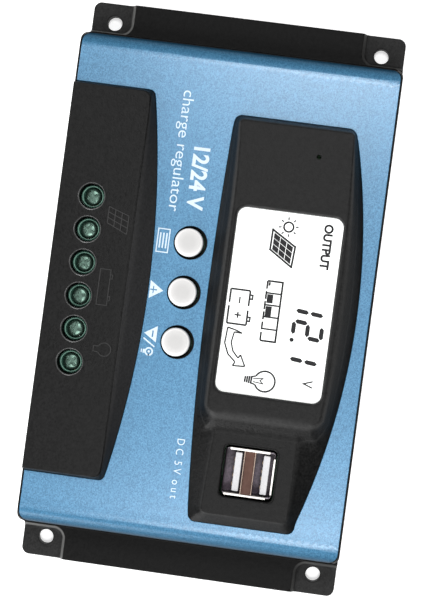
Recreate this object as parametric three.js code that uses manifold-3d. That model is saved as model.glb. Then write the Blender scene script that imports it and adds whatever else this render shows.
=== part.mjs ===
// Solar charge controller: a flat wall-mounted box with four screw ears, a metal face plate,
// a raised display island with two USB sockets, three push buttons and a hood over six wire terminals.
// Millimetres. X runs along the long side in reading direction, Y points from the terminals to the display,
// Z points out of the face. The origin is the centre of the back face.
import * as THREE from "three";
import { mergeVertices } from "three/addons/utils/BufferGeometryUtils.js";
import { ConvexGeometry } from "three/addons/geometries/ConvexGeometry.js";
import Module from "manifold-3d";

const wasm = await Module();
wasm.setup();

// ---------------------------------------------------------------- driving dimensions
const EAR_X = 84.0; // half length over the ears
const EAR_Y = 47.3; // half width over the ears
const TAB_Z = 3.0; // thickness of the screw ears
const STRIP_Z = 5.0; // thickness of the flange between the ears
const HOLE_X = 78.1, HOLE_Y = 40.45, HOLE_R = 2.2; // mounting screw holes
const SPLIT_Z = 9.0; // joint between the back tray and the cover
const RIM_Z = 22.0; // top of the cover's end walls
const FACE_Z = 27.0; // front of the face plate
const BODY_X0 = 72.2, BODY_X1 = 71.8; // half length of the body at the split and at the rim
const BODY_Y0 = 47.1, BODY_Y1 = 46.5; // half width of the body at the split and at the face
const PLATE_X = 71.2, PLATE_Y = 46.0, PLATE_T = 0.8, BEND_R = 5.0;
const WALL = 2.0;
const GAP = 0.3;

const HOOD_X = 56.2, HOOD_Z = 30.3; // terminal hood
const HOOD_TOP_Y = -23.4; // inner edge of the hood's flat top
const POLES = 6, PITCH = 9.5, POLE_Y = -36.7;
const poleX = (i) => (i - (POLES - 1) / 2) * PITCH;

const LCD_Z = 33.5, USB_Z = 30.0; // flat tops of the display island
const WIN = { x: 0, y: 20.25, w: 52.6, h: 30.1, r: 2.6 }; // display window
const USB = { x: 48.35, y: 17.85, w: 14.9, h: 15.25 }; // cut-out for the double USB socket
const PINHOLE = { x: -42.6, y: 25.8, r: 0.6 };
const BUTTON_X = [-14.3, 0, 14.3], BUTTON_Y = -7.67, BUTTON_HOLE_R = 4.8, BUTTON_R = 4.3;
const BUTTON_TRAVEL = 0.5; // the slot under each plunger allows this much and 0.2 more

// ---------------------------------------------------------------- solids from three.js geometry
function solid(geometry) {
  const g = (geometry.index ? geometry.toNonIndexed() : geometry).clone();
  g.deleteAttribute("normal");
  g.deleteAttribute("uv");
  const m = mergeVertices(g, 1e-4);
  const made = new wasm.Manifold(
    new wasm.Mesh({ numProp: 3, vertProperties: m.attributes.position.array, triVerts: new Uint32Array(m.index.array) }),
  );
  return made.volume() < 0 ? flip(m) : made;
}
function flip(m) {
  const t = new Uint32Array(m.index.array);
  for (let i = 0; i < t.length; i += 3) [t[i + 1], t[i + 2]] = [t[i + 2], t[i + 1]];
  return new wasm.Manifold(new wasm.Mesh({ numProp: 3, vertProperties: m.attributes.position.array, triVerts: t }));
}
function geometryOf(s) {
  const m = s.getMesh(), n = m.numProp;
  const v = new Float32Array(m.numVert * 3);
  for (let i = 0; i < m.numVert; i++) v.set(m.vertProperties.subarray(i * n, i * n + 3), i * 3);
  const g = new THREE.BufferGeometry().setAttribute("position", new THREE.BufferAttribute(v, 3));
  g.setIndex(new THREE.BufferAttribute(new Uint32Array(m.triVerts), 1));
  g.computeVertexNormals();
  return g;
}
const box = (x0, x1, y0, y1, z0, z1) =>
  solid(new THREE.BoxGeometry(x1 - x0, y1 - y0, z1 - z0).translate((x0 + x1) / 2, (y0 + y1) / 2, (z0 + z1) / 2));
const cyl = (x, y, z0, z1, r, seg = 24, r2 = r) =>
  solid(new THREE.CylinderGeometry(r2, r, z1 - z0, seg).rotateX(Math.PI / 2).translate(x, y, (z0 + z1) / 2));
const lathe = (profile, x, y, seg = 24) =>
  solid(new THREE.LatheGeometry(profile.map((p) => new THREE.Vector2(p[0], p[1])), seg).rotateX(Math.PI / 2).translate(x, y, 0));
function prism(points, z0, z1) {
  const shape = new THREE.Shape(points.map((p) => new THREE.Vector2(p[0], p[1])));
  return solid(new THREE.ExtrudeGeometry(shape, { depth: z1 - z0, bevelEnabled: false }).translate(0, 0, z0));
}
// A profile in X and Z, swept along Y.
function sweepY(points, y0, y1) {
  const shape = new THREE.Shape(points.map((p) => new THREE.Vector2(p[0], p[1])));
  return solid(new THREE.ExtrudeGeometry(shape, { depth: y1 - y0, bevelEnabled: false }).rotateX(Math.PI / 2).translate(0, y1, 0));
}
const hull = (points) => solid(new ConvexGeometry(points.map((p) => new THREE.Vector3(p[0], p[1], p[2]))));
const sum = (list) => list.reduce((a, b) => a.add(b));
const cut = (a, list) => list.reduce((s, b) => s.subtract(b), a);

// Outline of a rectangle with round corners, anticlockwise.
function roundRect(cx, cy, hx, hy, r, seg = 4) {
  const out = [];
  for (const [sx, sy, a0] of [[1, -1, -90], [1, 1, 0], [-1, 1, 90], [-1, -1, 180]])
    for (let i = 0; i <= seg; i++) {
      const a = THREE.MathUtils.degToRad(a0 + (90 * i) / seg);
      out.push([cx + sx * (hx - r) + r * Math.cos(a), cy + sy * (hy - r) + r * Math.sin(a)]);
    }
  return out;
}
const at = (outline, z) => outline.map(([x, y]) => [x, y, z]);
const loft = (a, z0, b, z1) => hull([...at(a, z0), ...at(b, z1)]);
function arc(cx, cy, r, a0, a1, n) {
  const out = [];
  for (let i = 0; i <= n; i++) {
    const a = THREE.MathUtils.degToRad(a0 + ((a1 - a0) * i) / n);
    out.push([cx + r * Math.cos(a), cy + r * Math.sin(a)]);
  }
  return out;
}
const mirrorX = (pts) => pts.map(([x, y]) => [-x, y]).reverse();

// ---------------------------------------------------------------- body outlines
// Plan outline of the cover at height z, moved in by d.
function planAt(z, d, r = 3) {
  const t = (z - SPLIT_Z) / (FACE_Z - SPLIT_Z);
  return roundRect(0, 0, THREE.MathUtils.lerp(BODY_X0, BODY_X1 - 0.15, t) - d, THREE.MathUtils.lerp(BODY_Y0, BODY_Y1, t) - d, Math.max(0.6, r - d * 0.6));
}
const bodyLoft = (d, z0, z1) => loft(planAt(z0, d), z0, planAt(z1, d), z1);
// Side profile of the face plate's outer surface moved in by d, from height z0 up.
function plateProfile(d, z0, lift = 0) {
  const right = [[PLATE_X - d, z0], ...arc(PLATE_X - BEND_R, FACE_Z - BEND_R, BEND_R - d, 0, 90, 8)];
  if (lift) right.push([PLATE_X - BEND_R, FACE_Z - d]);
  return [...right, ...mirrorX(right)];
}

// ---------------------------------------------------------------- hood and island outlines
const hoodArcY = (x) => -17.6 - (285.5 - Math.sqrt(285.5 ** 2 - x * x));
function hoodBase(d) {
  // on the face, from the outer wall to the bowed inner edge
  const xs = [-53.9, -50, -42, -32, -21, -10.5, 0, 10.5, 21, 32, 42, 50, 53.9];
  const inner = xs.map((x) => [x * (1 - d / 60), hoodArcY(x) - d]).reverse();
  const c = HOOD_X - d;
  return [[-c, -46.6 + d], [c, -46.6 + d], [c, -26.4], [c - 0.45, -24.4 - d * 0.6], ...inner, [-(c - 0.45), -24.4 - d * 0.6], [-c, -26.4]];
}
function hoodTop(d) {
  const c = HOOD_X - 0.7 - d, y = HOOD_TOP_Y - d;
  return [[-c, -46.2 + d], [c, -46.2 + d], [c, y - 2.4], [c - 0.8, y - 0.9], [c - 2.4, y - 0.25], [-(c - 2.4), y - 0.25], [-(c - 0.8), y - 0.9], [-c, y - 2.4]];
}
const hood = (d, z0, z1) => hull([...at(hoodBase(d), z0), ...at(hoodBase(d), Math.min(FACE_Z, z1)), ...at(hoodTop(d), z1)]);

const islandLow = (x) => (x < 0 ? -0.45 + 0.0004 * x * x : -0.45 + 0.0007 * x * x); // edge near the buttons
const islandHigh = (x) => 42.3 - (198 - Math.sqrt(198 ** 2 - x * x)); // edge near the top side
function islandBase(d, xa, xb) {
  const xs = [-50.6, -48.5, -44, -37, -28, -18, -9, 0, 9, 18, 28, 37, 44, 50, 56, 60.5, 62.6].filter((x) => x >= xa && x <= xb);
  const low = xs.map((x) => [x * (1 - d / 60), islandLow(x) + d + (x < -50 ? 0.8 : x > 62 ? 0.9 : 0)]);
  const high = xs.map((x) => [x * (1 - d / 60), islandHigh(x) - d - (x < -50 ? 0.5 : x > 62 ? 1.2 : 0)]).reverse();
  const out = [...low];
  if (xb > 62) out.push([64.1 - d, 5.2 + d], [64.1 - d, 29.8 - d]);
  out.push(...high);
  if (xa < -50) out.push([-52.25 + d, 33.6 - d], [-52.25 + d, 3.2 + d]);
  return out;
}
function lcdTop(d) {
  const left = [[-50.6, 33.6], [-50.6, 4.0], [-49.6, 2.9]];
  const low = [[-42, 2.95], [-28, 3.3], [0, 3.35], [26, 3.35], [30.6, 3.8], [32.6, 5.6]];
  const high = [[32.6, 34.3], [30.6, 36.2], [26, 36.8], [13, 37.25], [0, 37.4], [-13, 37.2], [-28, 36.55], [-42, 35.65], [-49.6, 34.7]];
  const cx = -9, cy = 20.2;
  return [...left, ...low, ...high].map(([x, y]) => [x + Math.sign(cx - x) * d, y + Math.sign(cy - y) * d]);
}
const usbTop = (d) => roundRect(47.8, 18.05, 13.2 - d, 12.0 - d, 1.2);
const lcdBlock = (d, z0, z1) =>
  hull([...at(islandBase(d, -51, 38), z0), ...at(islandBase(d, -51, 38), Math.min(FACE_Z, z1)), ...at(lcdTop(d), z1)]);
const usbBlock = (d, z0, z1) =>
  hull([...at(islandBase(d, 17, 63), z0), ...at(islandBase(d, 17, 63), Math.min(FACE_Z, z1)), ...at(usbTop(d), z1),
    ...at([[30, 6.1 + d], [30, 30 - d]], z1)]);

// ---------------------------------------------------------------- back tray
function makeTray() {
  const outer = loft(roundRect(0, 0, 72.3, 47.3, 3.5), 0, roundRect(0, 0, 72.2, 47.1, 3), SPLIT_Z - GAP / 2);
  const flange = prism(roundRect(0, 0, EAR_X, EAR_Y, 2.3), 0, STRIP_Z);
  const pocket = (sx, sy) => {
    const corner = arc(76.0, 38.3, 3.5, 180, 270, 5); // rounds the pocket beside the body
    const pts = [[72.45, 48.5], ...corner, [85, 34.8], [85, 48.5]].map(([x, y]) => [sx * x, sy * y]);
    return prism(sx * sy < 0 ? pts.reverse() : pts, TAB_Z, 12);
  };
  let s = flange.add(outer);
  // the pockets are cut from the flange only, never from the body
  const pockets = [[1, 1], [1, -1], [-1, 1], [-1, -1]].map(([a, b]) => pocket(a, b).subtract(outer));
  s = cut(s, pockets);
  s = s.subtract(loft(roundRect(0, 0, 70.1, 45.1, 1.8), 2.4, roundRect(0, 0, 70.1, 45.1, 1.8), 12));
  // posts: four for the board, four for the case screws
  const add = [], sub = [];
  for (const sx of [-1, 1]) for (const sy of [-1, 1]) {
    add.push(cyl(sx * 66, sy * 39, 2.0, SPLIT_Z - GAP / 2, 3.9, 20));
    sub.push(cyl(sx * 66, sy * 39, -1, 2.9, 3.1, 20), cyl(sx * 66, sy * 39, -1, 12, 1.75, 16));
    add.push(cyl(sx * 55, sy * 40, 2.0, 6.8, 2.6, 14));
    sub.push(cyl(sx * HOLE_X, sy * HOLE_Y, -1, 6, HOLE_R, 28), cyl(sx * HOLE_X, sy * HOLE_Y, 2.7, 6, HOLE_R, 28, HOLE_R + 0.6));
  }
  for (const cx of [-30, 30]) for (let i = -3; i <= 3; i++)
    sub.push(prism(roundRect(cx + i * 6, 0, 1.2, 15, 1.0, 1), -1, 3));
  return cut(sum([s, ...add]), sub);
}

// ---------------------------------------------------------------- cover with hood and island
function makeCover() {
  const z0 = SPLIT_Z + GAP / 2;
  const roof = plateProfile(0, 0);
  const end = [[BODY_X0 + 1, 0], [BODY_X0 + 1, RIM_Z], [PLATE_X, RIM_Z], ...arc(PLATE_X - BEND_R, FACE_Z - BEND_R, BEND_R, 0, 90, 8).slice(1)];
  const side = sweepY([...end, ...mirrorX(end)], -60, 60);
  let s = bodyLoft(0, z0, FACE_Z + 0.001).intersect(side);
  // inner space, under a 1.6 mm roof below the plate
  const under = sweepY(plateProfile(PLATE_T + 0.2 + 1.6, -5), -60, 60);
  s = s.subtract(bodyLoft(WALL, z0 - 1, FACE_Z).intersect(under));
  // seat of the face plate
  const seat = sweepY(plateProfile(-2, RIM_Z - 1.5), -60, 60)
    .subtract(sweepY(plateProfile(PLATE_T + 0.2, RIM_Z - 3), -61, 61))
    .intersect(prism(roundRect(0, 0, PLATE_X + 0.1, PLATE_Y + 0.05, 2.5), RIM_Z - 1.5, 40));
  s = s.subtract(seat);
  // hood and island stand through the plate
  s = sum([s, hood(0, FACE_Z - 2.2, HOOD_Z), lcdBlock(0, FACE_Z - 2.2, LCD_Z), usbBlock(0, FACE_Z - 2.2, USB_Z)]);
  const sub = [hood(2.0, 20, HOOD_Z - 2.0), lcdBlock(2.1, 20, LCD_Z - 2.0), usbBlock(2.1, 20, USB_Z - 2.0)];
  for (let i = 0; i < POLES; i++) {
    sub.push(cyl(poleX(i), POLE_Y, 20, 40, 3.65, 28));
    sub.push(box(poleX(i) - 3.3, poleX(i) + 3.3, -50, -44, 10.4, 16.9));
  }
  sub.push(prism(roundRect(WIN.x, WIN.y, 28.6, 16.4, 1.5, 3), 20, 31.4)); // seat of the display window
  sub.push(prism(roundRect(WIN.x, WIN.y, WIN.w / 2, WIN.h / 2, WIN.r, 5), 20, 40));
  sub.push(loft(roundRect(WIN.x, WIN.y, WIN.w / 2 - 0.1, WIN.h / 2 - 0.1, WIN.r, 5), LCD_Z - 0.7, roundRect(WIN.x, WIN.y, WIN.w / 2 + 0.6, WIN.h / 2 + 0.6, WIN.r + 0.6, 5), LCD_Z + 0.01));
  sub.push(prism(roundRect(USB.x, USB.y, USB.w / 2, USB.h / 2, 1.6, 3), 20, 40));
  sub.push(cyl(PINHOLE.x, PINHOLE.y, 20, 40, PINHOLE.r, 12));
  for (const x of BUTTON_X) sub.push(cyl(x, BUTTON_Y, 20, 40, BUTTON_HOLE_R, 32));
  for (let i = -7; i <= 7; i++) sub.push(box(i * 5 - 1, i * 5 + 1, 43, 50, 11.5, 20.5)); // vents on the long side
  s = cut(s, sub);
  // screw posts under the roof
  const inside = sweepY(plateProfile(PLATE_T + 0.7, 5), -60, 60).intersect(bodyLoft(1.0, 5, FACE_Z));
  const posts = [];
  for (const sx of [-1, 1]) for (const sy of [-1, 1])
    posts.push(cyl(sx * 66, sy * 39, z0, 26, 3.3, 20).intersect(inside));
  s = sum([s, ...posts]);
  return cut(s, [-1, 1].flatMap((sx) => [-1, 1].map((sy) => cyl(sx * 66, sy * 39, 5, 20, 1.6, 16))));
}

function makePlate() {
  const body = sweepY(plateProfile(0, RIM_Z - 1.2), -60, 60)
    .subtract(sweepY(plateProfile(PLATE_T, RIM_Z - 3), -61, 61))
    .intersect(prism(roundRect(0, 0, PLATE_X + 0.01, PLATE_Y - 0.1, 2.4), RIM_Z - 1.2, 40));
  const grow = 0.15;
  return cut(body, [
    hood(-grow, FACE_Z - 1.5, HOOD_Z),
    hull([...at(islandBase(-grow, -51, 63), FACE_Z - 1.5), ...at(islandBase(-grow, -51, 63), FACE_Z + 1)]),
    box(-56.3, 56.3, -50, -44, RIM_Z, 40),
    ...BUTTON_X.map((x) => cyl(x, BUTTON_Y, 20, 40, BUTTON_HOLE_R, 32)),
  ]);
}

// ---------------------------------------------------------------- display stack
const ROOF = FACE_Z - PLATE_T - 0.2 - 1.6; // underside of the cover's roof, 24.4
const DPCB = { z0: 17.6, z1: 19.2 };
const parts = {};
parts.base_tray = makeTray();
parts.top_cover = makeCover();
parts.face_plate = makePlate();
parts.lcd_window = prism(roundRect(WIN.x, WIN.y, 28.2, 16.1, 1.5, 3), 30.2, 31.2)
  .add(prism(roundRect(WIN.x, WIN.y, WIN.w / 2 - 0.3, WIN.h / 2 - 0.3, WIN.r - 0.3, 4), 31.0, 32.6));
parts.lcd_glass = box(-27.9, 27.9, WIN.y - 15.6, WIN.y + 15.6, 27.9, 29.9);
parts.lcd_backlight = box(-29, 29, WIN.y - 16, WIN.y + 15.9, DPCB.z1 + 0.2, 27.6)
  .subtract(box(-26, 26, WIN.y - 13.5, WIN.y + 13.5, 10, 23.5));
parts.display_pcb = box(-48, 33, -14, 38, DPCB.z0, DPCB.z1);
BUTTON_X.forEach((x, i) => {
  const n = i + 1;
  parts["button_cap_" + n] = lathe([[0, 23.5], [5.4, 23.5], [5.4, 24.1], [BUTTON_R, 24.1], [BUTTON_R, 27.9], [BUTTON_R - 0.25, 28.35], [BUTTON_R - 0.8, 28.6], [0, 28.75]], x, BUTTON_Y, 32);
  parts["switch_plunger_" + n] = cyl(x, BUTTON_Y, 21.9, 23.4, 1.7, 16);
  parts["tact_switch_" + n] = box(x - 3, x + 3, BUTTON_Y - 3, BUTTON_Y + 3, DPCB.z1 + 0.1, 22.8)
    .subtract(cyl(x, BUTTON_Y, 21.9 - BUTTON_TRAVEL - 0.2, 30, 1.9, 16));
});
// indicator lamp under the pinhole
parts.status_led = lathe([[0, DPCB.z1 + 0.1], [1.5, DPCB.z1 + 0.1], [1.5, 29.6], [1.3, 30.4], [0.8, 31.0], [0, 31.2]], PINHOLE.x, PINHOLE.y, 14);

// ---------------------------------------------------------------- double USB socket
{
  const { x, y } = USB, hx = 6.8, hy = 7.25, port = 4.35; // port: half the distance between the two sockets
  const cavity = (s, z0, z1, dx, dy) => box(x - 6.25 + dx, x + 6.25 - dx, y + s * port - 2.6 + dy, y + s * port + 2.6 - dy, z0, z1);
  const lip = (s) => hull([
    ...at(roundRect(x, y + s * port, 6.25, 2.6, 0.3, 1), 28.9),
    ...at(roundRect(x, y + s * port, 6.6, 2.85, 0.3, 1), 29.81),
  ]);
  parts.usb_shell = cut(box(x - hx, x + hx, y - hy, y + hy, 15.0, 29.8), [cavity(-1, 10, 40, 0, 0), cavity(1, 10, 40, 0, 0), lip(-1), lip(1)]);
  // the tongues lie off centre in their sockets
  const tongue = (s) => box(x - 5.55, x + 5.55, s < 0 ? 13.6 : 21.6, s < 0 ? 15.5 : 23.5, 15.5, 29.0);
  parts.usb_insulator = sum([
    box(x - hx, x + hx, y - hy, y + hy, 14.1, 14.8),
    cavity(-1, 14.5, 17.6, 0.2, 0.2), cavity(1, 14.5, 17.6, 0.2, 0.2), tongue(-1), tongue(1),
  ]);
  parts.usb_pcb = box(36.5, 60.5, 6, 30, 12.2, 13.8);
  parts.usb_header = box(57.2, 59.7, 10, 24, 8.8, 12.0);
}

// ---------------------------------------------------------------- terminals
const BLOCK = { x: 28.9, y0: -44.0, y1: -30.5, z0: 8.8, z1: 24.5 };
const SHAFT = { z0: 9.5, z1: 23.2 };
{
  let b = box(-BLOCK.x, BLOCK.x, BLOCK.y0, BLOCK.y1, BLOCK.z0, BLOCK.z1);
  const add = [], sub = [];
  for (let i = 0; i < POLES; i++) {
    const x = poleX(i);
    add.push(cyl(x, POLE_Y, BLOCK.z1 - 0.5, 28.9, 3.3, 20));
    sub.push(
      box(x - 3.7, x + 3.7, -40.2, -31.6, SHAFT.z0, SHAFT.z1), // room for the cage
      box(x - 2.5, x + 2.5, -33.4, -31.6, 8, 12), // slot for the contact's leg
      box(x - 3.2, x + 3.2, -46, -40, 10.6, 16.4), // wire entry
      cyl(x, POLE_Y, 20, 26, 2.0, 14),
      cyl(x, POLE_Y, 24.9, 30, 2.95, 20), // well over the screw head
    );
  }
  parts.terminal_block = cut(sum([b, ...add]), sub);
}
for (let i = 0; i < POLES; i++) {
  const x = poleX(i), n = i + 1, turn = THREE.MathUtils.degToRad([20, 65, 38, 12, 80, 50][i]);
  const bar = (a) => solid(new THREE.BoxGeometry(3.0, 0.75, 2.6).rotateZ(a).translate(x, POLE_Y, 27.4));
  parts["terminal_screw_" + n] = cut(
    lathe([[0, 17.5], [1.2, 17.5], [1.7, 18.1], [1.7, 25.2], [2.4, 25.2], [2.4, 26.9], [2.1, 27.3], [0, 27.4]], x, POLE_Y, 20),
    [bar(turn), bar(turn + Math.PI / 2)],
  );
  // rising cage: clamps the wire against the underside of the contact
  parts["clamp_cage_" + n] = cut(box(x - 3.4, x + 3.4, -39.5, -33.9, 9.9, 19.2), [
    box(x - 2.6, x + 2.6, -45, -30, 11.0, 17.6),
    cyl(x, POLE_Y, 15, 25, 2.0, 16),
  ]);
  parts["contact_bar_" + n] = box(x - 2.2, x + 2.2, -39.8, -32.0, 16.2, 17.2).add(box(x - 2.2, x + 2.2, -33.0, -32.0, 8.8, 17.2));
}

// ---------------------------------------------------------------- power board
parts.main_pcb = box(-62, 62, -44.2, 43.5, 7.0, 8.6);
parts.heat_sink = sum([
  box(-55.5, -53, -28, 40, 8.8, 23.5),
  ...Array.from({ length: 10 }, (_, i) => box(-53.5, -49, -27 + i * 7.2, -25.6 + i * 7.2, 8.8, 23.5)),
]);
for (let i = 0; i < 4; i++) {
  const y = -19 + i * 15;
  parts["mosfet_" + (i + 1)] = sum([
    box(-60.3, -55.9, y - 5.1, y + 5.1, 11, 20),
    box(-57.1, -55.9, y - 5.1, y + 5.1, 19, 23.4).subtract(solid(new THREE.CylinderGeometry(1.8, 1.8, 6, 14).rotateZ(Math.PI / 2).translate(-56.5, y, 21.6))),
    ...[-2.54, 0, 2.54].map((d) => box(-58.4, -57.8, y + d - 0.5, y + d + 0.5, 8.8, 11.5)),
  ]);
}
[[-39, -22.2, 6.2], [-25.5, -22.2, 6.2], [46, -23.5, 5.0]].forEach(([x, y, r], i) => {
  parts["capacitor_" + (i + 1)] = lathe([[0, 8.8], [r - 0.4, 8.8], [r, 9.2], [r, 10.6], [r - 0.35, 11.0], [r, 11.4], [r, 23.2], [r - 0.4, 23.6], [0, 23.6]], x, y, 24);
});
parts.inductor = lathe([[5.2, 8.9], [9.6, 8.9], [10.4, 9.8], [10.4, 16.6], [9.6, 17.5], [5.2, 17.5], [4.4, 16.6], [4.4, 9.8], [5.2, 8.9]], 48, -6.5, 28);
parts.mcu = box(-6, 6, 4, 16, 8.8, 10.4);
parts.board_header = box(8, 28, 34, 36.6, 8.8, 17.4);
{
  const path = new THREE.CatmullRomCurve3([[6, -22, 8.8], [6, -22, 13], [7.5, -22, 15], [10.5, -22, 15], [12, -22, 13], [12, -22, 8.8]].map((p) => new THREE.Vector3(...p)), false, "catmullrom", 0.2);
  const ring = new THREE.Shape(arc(0, 0, 0.9, 0, 315, 7).map((p) => new THREE.Vector2(p[0], p[1])));
  parts.current_shunt = solid(new THREE.ExtrudeGeometry(ring, { steps: 20, extrudePath: path, bevelEnabled: false }));
}
for (const [n, sx, sy] of [[1, -1, -1], [2, 1, -1], [3, 1, 1], [4, -1, 1]]) {
  const x = sx * 66, y = sy * 39;
  const bar = (a) => solid(new THREE.BoxGeometry(3.4, 0.8, 2.4).rotateZ(a).translate(x, y, 0.6));
  parts["case_screw_" + n] = cut(
    lathe([[0, 0.6], [2.2, 0.6], [2.8, 1.2], [2.8, 2.6], [1.3, 2.6], [1.3, 17.5], [0.6, 18.8], [0, 18.8]], x, y, 14),
    [bar(0.5 + n), bar(0.5 + n + Math.PI / 2)],
  );
}

// ---------------------------------------------------------------- materials
const mat = (color, roughness, metalness, extra = {}) => new THREE.MeshStandardMaterial({ color, roughness, metalness, ...extra });
const M = {
  black_plastic: mat(0x2b2b2c, 0.62, 0),
  blue_plate: mat(0x6fa9da, 0.38, 0.75),
  clear: mat(0xf4f6f6, 0.08, 0, { transparent: true, opacity: 0.35 }),
  lcd: mat(0xf3f4f2, 0.35, 0),
  white_plastic: mat(0xe3e0de, 0.45, 0),
  green_plastic: mat(0x1f5d47, 0.45, 0),
  steel: mat(0xb9bcbd, 0.3, 1),
  zinc: mat(0xa9aaa6, 0.35, 1),
  copper: mat(0xc9a06a, 0.35, 1),
  pcb: mat(0x1c5c33, 0.5, 0),
  aluminium: mat(0xb5b8ba, 0.4, 1),
  black_epoxy: mat(0x1d1d1f, 0.5, 0),
  ferrite: mat(0x6a5a2a, 0.5, 0),
  led: mat(0x4fae5c, 0.25, 0, { transparent: true, opacity: 0.8 }),
};
const looks = [
  [/^(base_tray|top_cover)$/, M.black_plastic], [/^face_plate$/, M.blue_plate], [/^lcd_window$/, M.clear], [/^lcd_glass$/, M.lcd],
  [/^(lcd_backlight|button_cap_|usb_insulator)/, M.white_plastic], [/^terminal_block$/, M.green_plastic],
  [/^usb_shell$/, M.steel], [/^(terminal_screw_|clamp_cage_|case_screw_)/, M.zinc], [/^(contact_bar_|current_shunt)/, M.copper],
  [/_pcb$/, M.pcb], [/^(heat_sink|capacitor_)/, M.aluminium], [/^inductor$/, M.ferrite], [/^status_led$/, M.led], [/./, M.black_epoxy],
];

const controller = new THREE.Group();
controller.name = "charge_controller";
for (const [name, s] of Object.entries(parts)) {
  const mesh = new THREE.Mesh(geometryOf(s), looks.find(([re]) => re.test(name))[1]);
  mesh.name = name;
  controller.add(mesh);
}
export default controller;
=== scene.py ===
import bpy, bmesh, math
import numpy as np
from mathutils import Matrix, Vector
from mathutils.geometry import delaunay_2d_cdt


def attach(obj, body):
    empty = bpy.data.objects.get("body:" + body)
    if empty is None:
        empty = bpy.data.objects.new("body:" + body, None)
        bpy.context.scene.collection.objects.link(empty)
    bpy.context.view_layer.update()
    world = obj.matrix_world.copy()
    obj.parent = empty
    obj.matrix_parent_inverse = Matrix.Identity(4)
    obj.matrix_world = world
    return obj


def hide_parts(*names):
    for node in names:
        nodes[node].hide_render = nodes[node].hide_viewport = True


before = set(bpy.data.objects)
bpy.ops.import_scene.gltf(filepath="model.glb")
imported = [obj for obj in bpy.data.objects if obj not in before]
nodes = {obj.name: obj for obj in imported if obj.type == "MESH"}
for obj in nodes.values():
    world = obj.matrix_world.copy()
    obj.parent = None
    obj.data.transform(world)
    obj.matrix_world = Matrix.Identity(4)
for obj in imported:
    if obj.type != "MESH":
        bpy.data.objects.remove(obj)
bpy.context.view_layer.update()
MM = 0.001

# ------------------------------------------------------------------ sizes, in mm, as in the CAD frame
SPLIT_Z, RIM_Z, FACE_Z = 9.0, 22.0, 27.0
EAR_X, EAR_Y, TAB_Z, STRIP_Z = 84.0, 47.3, 3.0, 5.0
HOLE_X, HOLE_Y, HOLE_R = 78.1, 40.45, 2.2
PLATE_X, PLATE_Y, BEND_R = 71.2, 45.9, 5.0
HOOD_X, HOOD_Z = 56.2, 30.3
LCD_Z, USB_Z = 33.5, 30.0
POLE_Y = -36.7
POLES = [(i - 2.5) * 9.5 for i in range(6)]
WIN = (0.0, 20.25, 26.3, 15.05, 2.6)       # centre, half sizes, corner radius
USB = (48.35, 17.85)
BUTTONS = [(-14.3, -7.67), (0.0, -7.67), (14.3, -7.67)]


# ------------------------------------------------------------------ small 2-D tools
def round_poly(pts, radii, seg=0.35):
    pts = [np.array(p, float) for p in pts]
    if not hasattr(radii, "__len__"):
        radii = [radii] * len(pts)
    out = []
    for i, p1 in enumerate(pts):
        r = radii[i]
        if r <= 0:
            out.append(p1)
            continue
        v0, v2 = pts[i - 1] - p1, pts[(i + 1) % len(pts)] - p1
        l0, l2 = np.linalg.norm(v0), np.linalg.norm(v2)
        v0, v2 = v0 / l0, v2 / l2
        ang = math.acos(max(-1, min(1, float(v0 @ v2))))
        if ang > math.pi - 1e-3:
            out.append(p1)
            continue
        t = min(r / math.tan(ang / 2), l0 * 0.49, l2 * 0.49)
        r = t * math.tan(ang / 2)
        a, b = p1 + v0 * t, p1 + v2 * t
        c = p1 + (v0 + v2) / np.linalg.norm(v0 + v2) * (r / math.sin(ang / 2))
        a0, a1 = math.atan2(*(a - c)[::-1]), math.atan2(*(b - c)[::-1])
        sw = (a1 - a0 + math.pi) % (2 * math.pi) - math.pi
        m = max(3, int(math.ceil(abs(sw) * r / seg)))
        for k in range(m + 1):
            q = a0 + sw * k / m
            out.append(c + r * np.array([math.cos(q), math.sin(q)]))
    return np.array(out)


def rect(cx, cy, hx, hy, r, seg=0.3):
    return round_poly([(cx - hx, cy - hy), (cx + hx, cy - hy), (cx + hx, cy + hy), (cx - hx, cy + hy)], r, seg)


def circle(cx, cy, r, n=48):
    a = np.linspace(0, 2 * math.pi, n, endpoint=False)
    return np.c_[cx + r * np.cos(a), cy + r * np.sin(a)]


def densify(poly, step):
    out = []
    for i in range(len(poly)):
        a, b = poly[i], poly[(i + 1) % len(poly)]
        m = max(1, int(math.ceil(np.linalg.norm(b - a) / step)))
        for k in range(m):
            out.append(a + (b - a) * k / m)
    return np.array(out)


def offset(poly, d):
    """Moves a closed anticlockwise loop outwards by d."""
    e = np.roll(poly, -1, 0) - poly
    e /= np.linalg.norm(e, axis=1)[:, None] + 1e-12
    n = np.c_[e[:, 1], -e[:, 0]]
    n0 = np.roll(n, 1, 0)
    m = (n + n0) / (1 + (n * n0).sum(1))[:, None].clip(0.25)
    return poly + m * d


def sdist(P, poly):
    """Distance to a loop, positive inside."""
    A, B = poly, np.roll(poly, -1, 0)
    ab = B - A
    ll = (ab * ab).sum(1) + 1e-18
    out = np.empty(len(P))
    for s in range(0, len(P), 3000):
        p = P[s:s + 3000, None, :]
        ap = p - A
        t = ((ap * ab).sum(-1) / ll).clip(0, 1)
        d = ap - t[..., None] * ab
        dist = np.sqrt((d * d).sum(-1).min(1))
        y, x = p[..., 1], p[..., 0]
        dy = B[:, 1] - A[:, 1]
        with np.errstate(divide="ignore", invalid="ignore"):
            xi = ab[:, 0] * (y - A[:, 1]) / np.where(dy == 0, 1e-30, dy) + A[:, 0]
        inside = (((A[:, 1] > y) != (B[:, 1] > y)) & (x < xi)).sum(1) % 2 == 1
        out[s:s + 3000] = np.where(inside, dist, -dist)
    return out


def smin(a, b, k):
    h = (k - np.abs(a - b)).clip(0) / k
    return np.minimum(a, b) - h * h * k / 4


def smax(a, b, k):
    return -smin(-a, -b, k)


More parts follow.
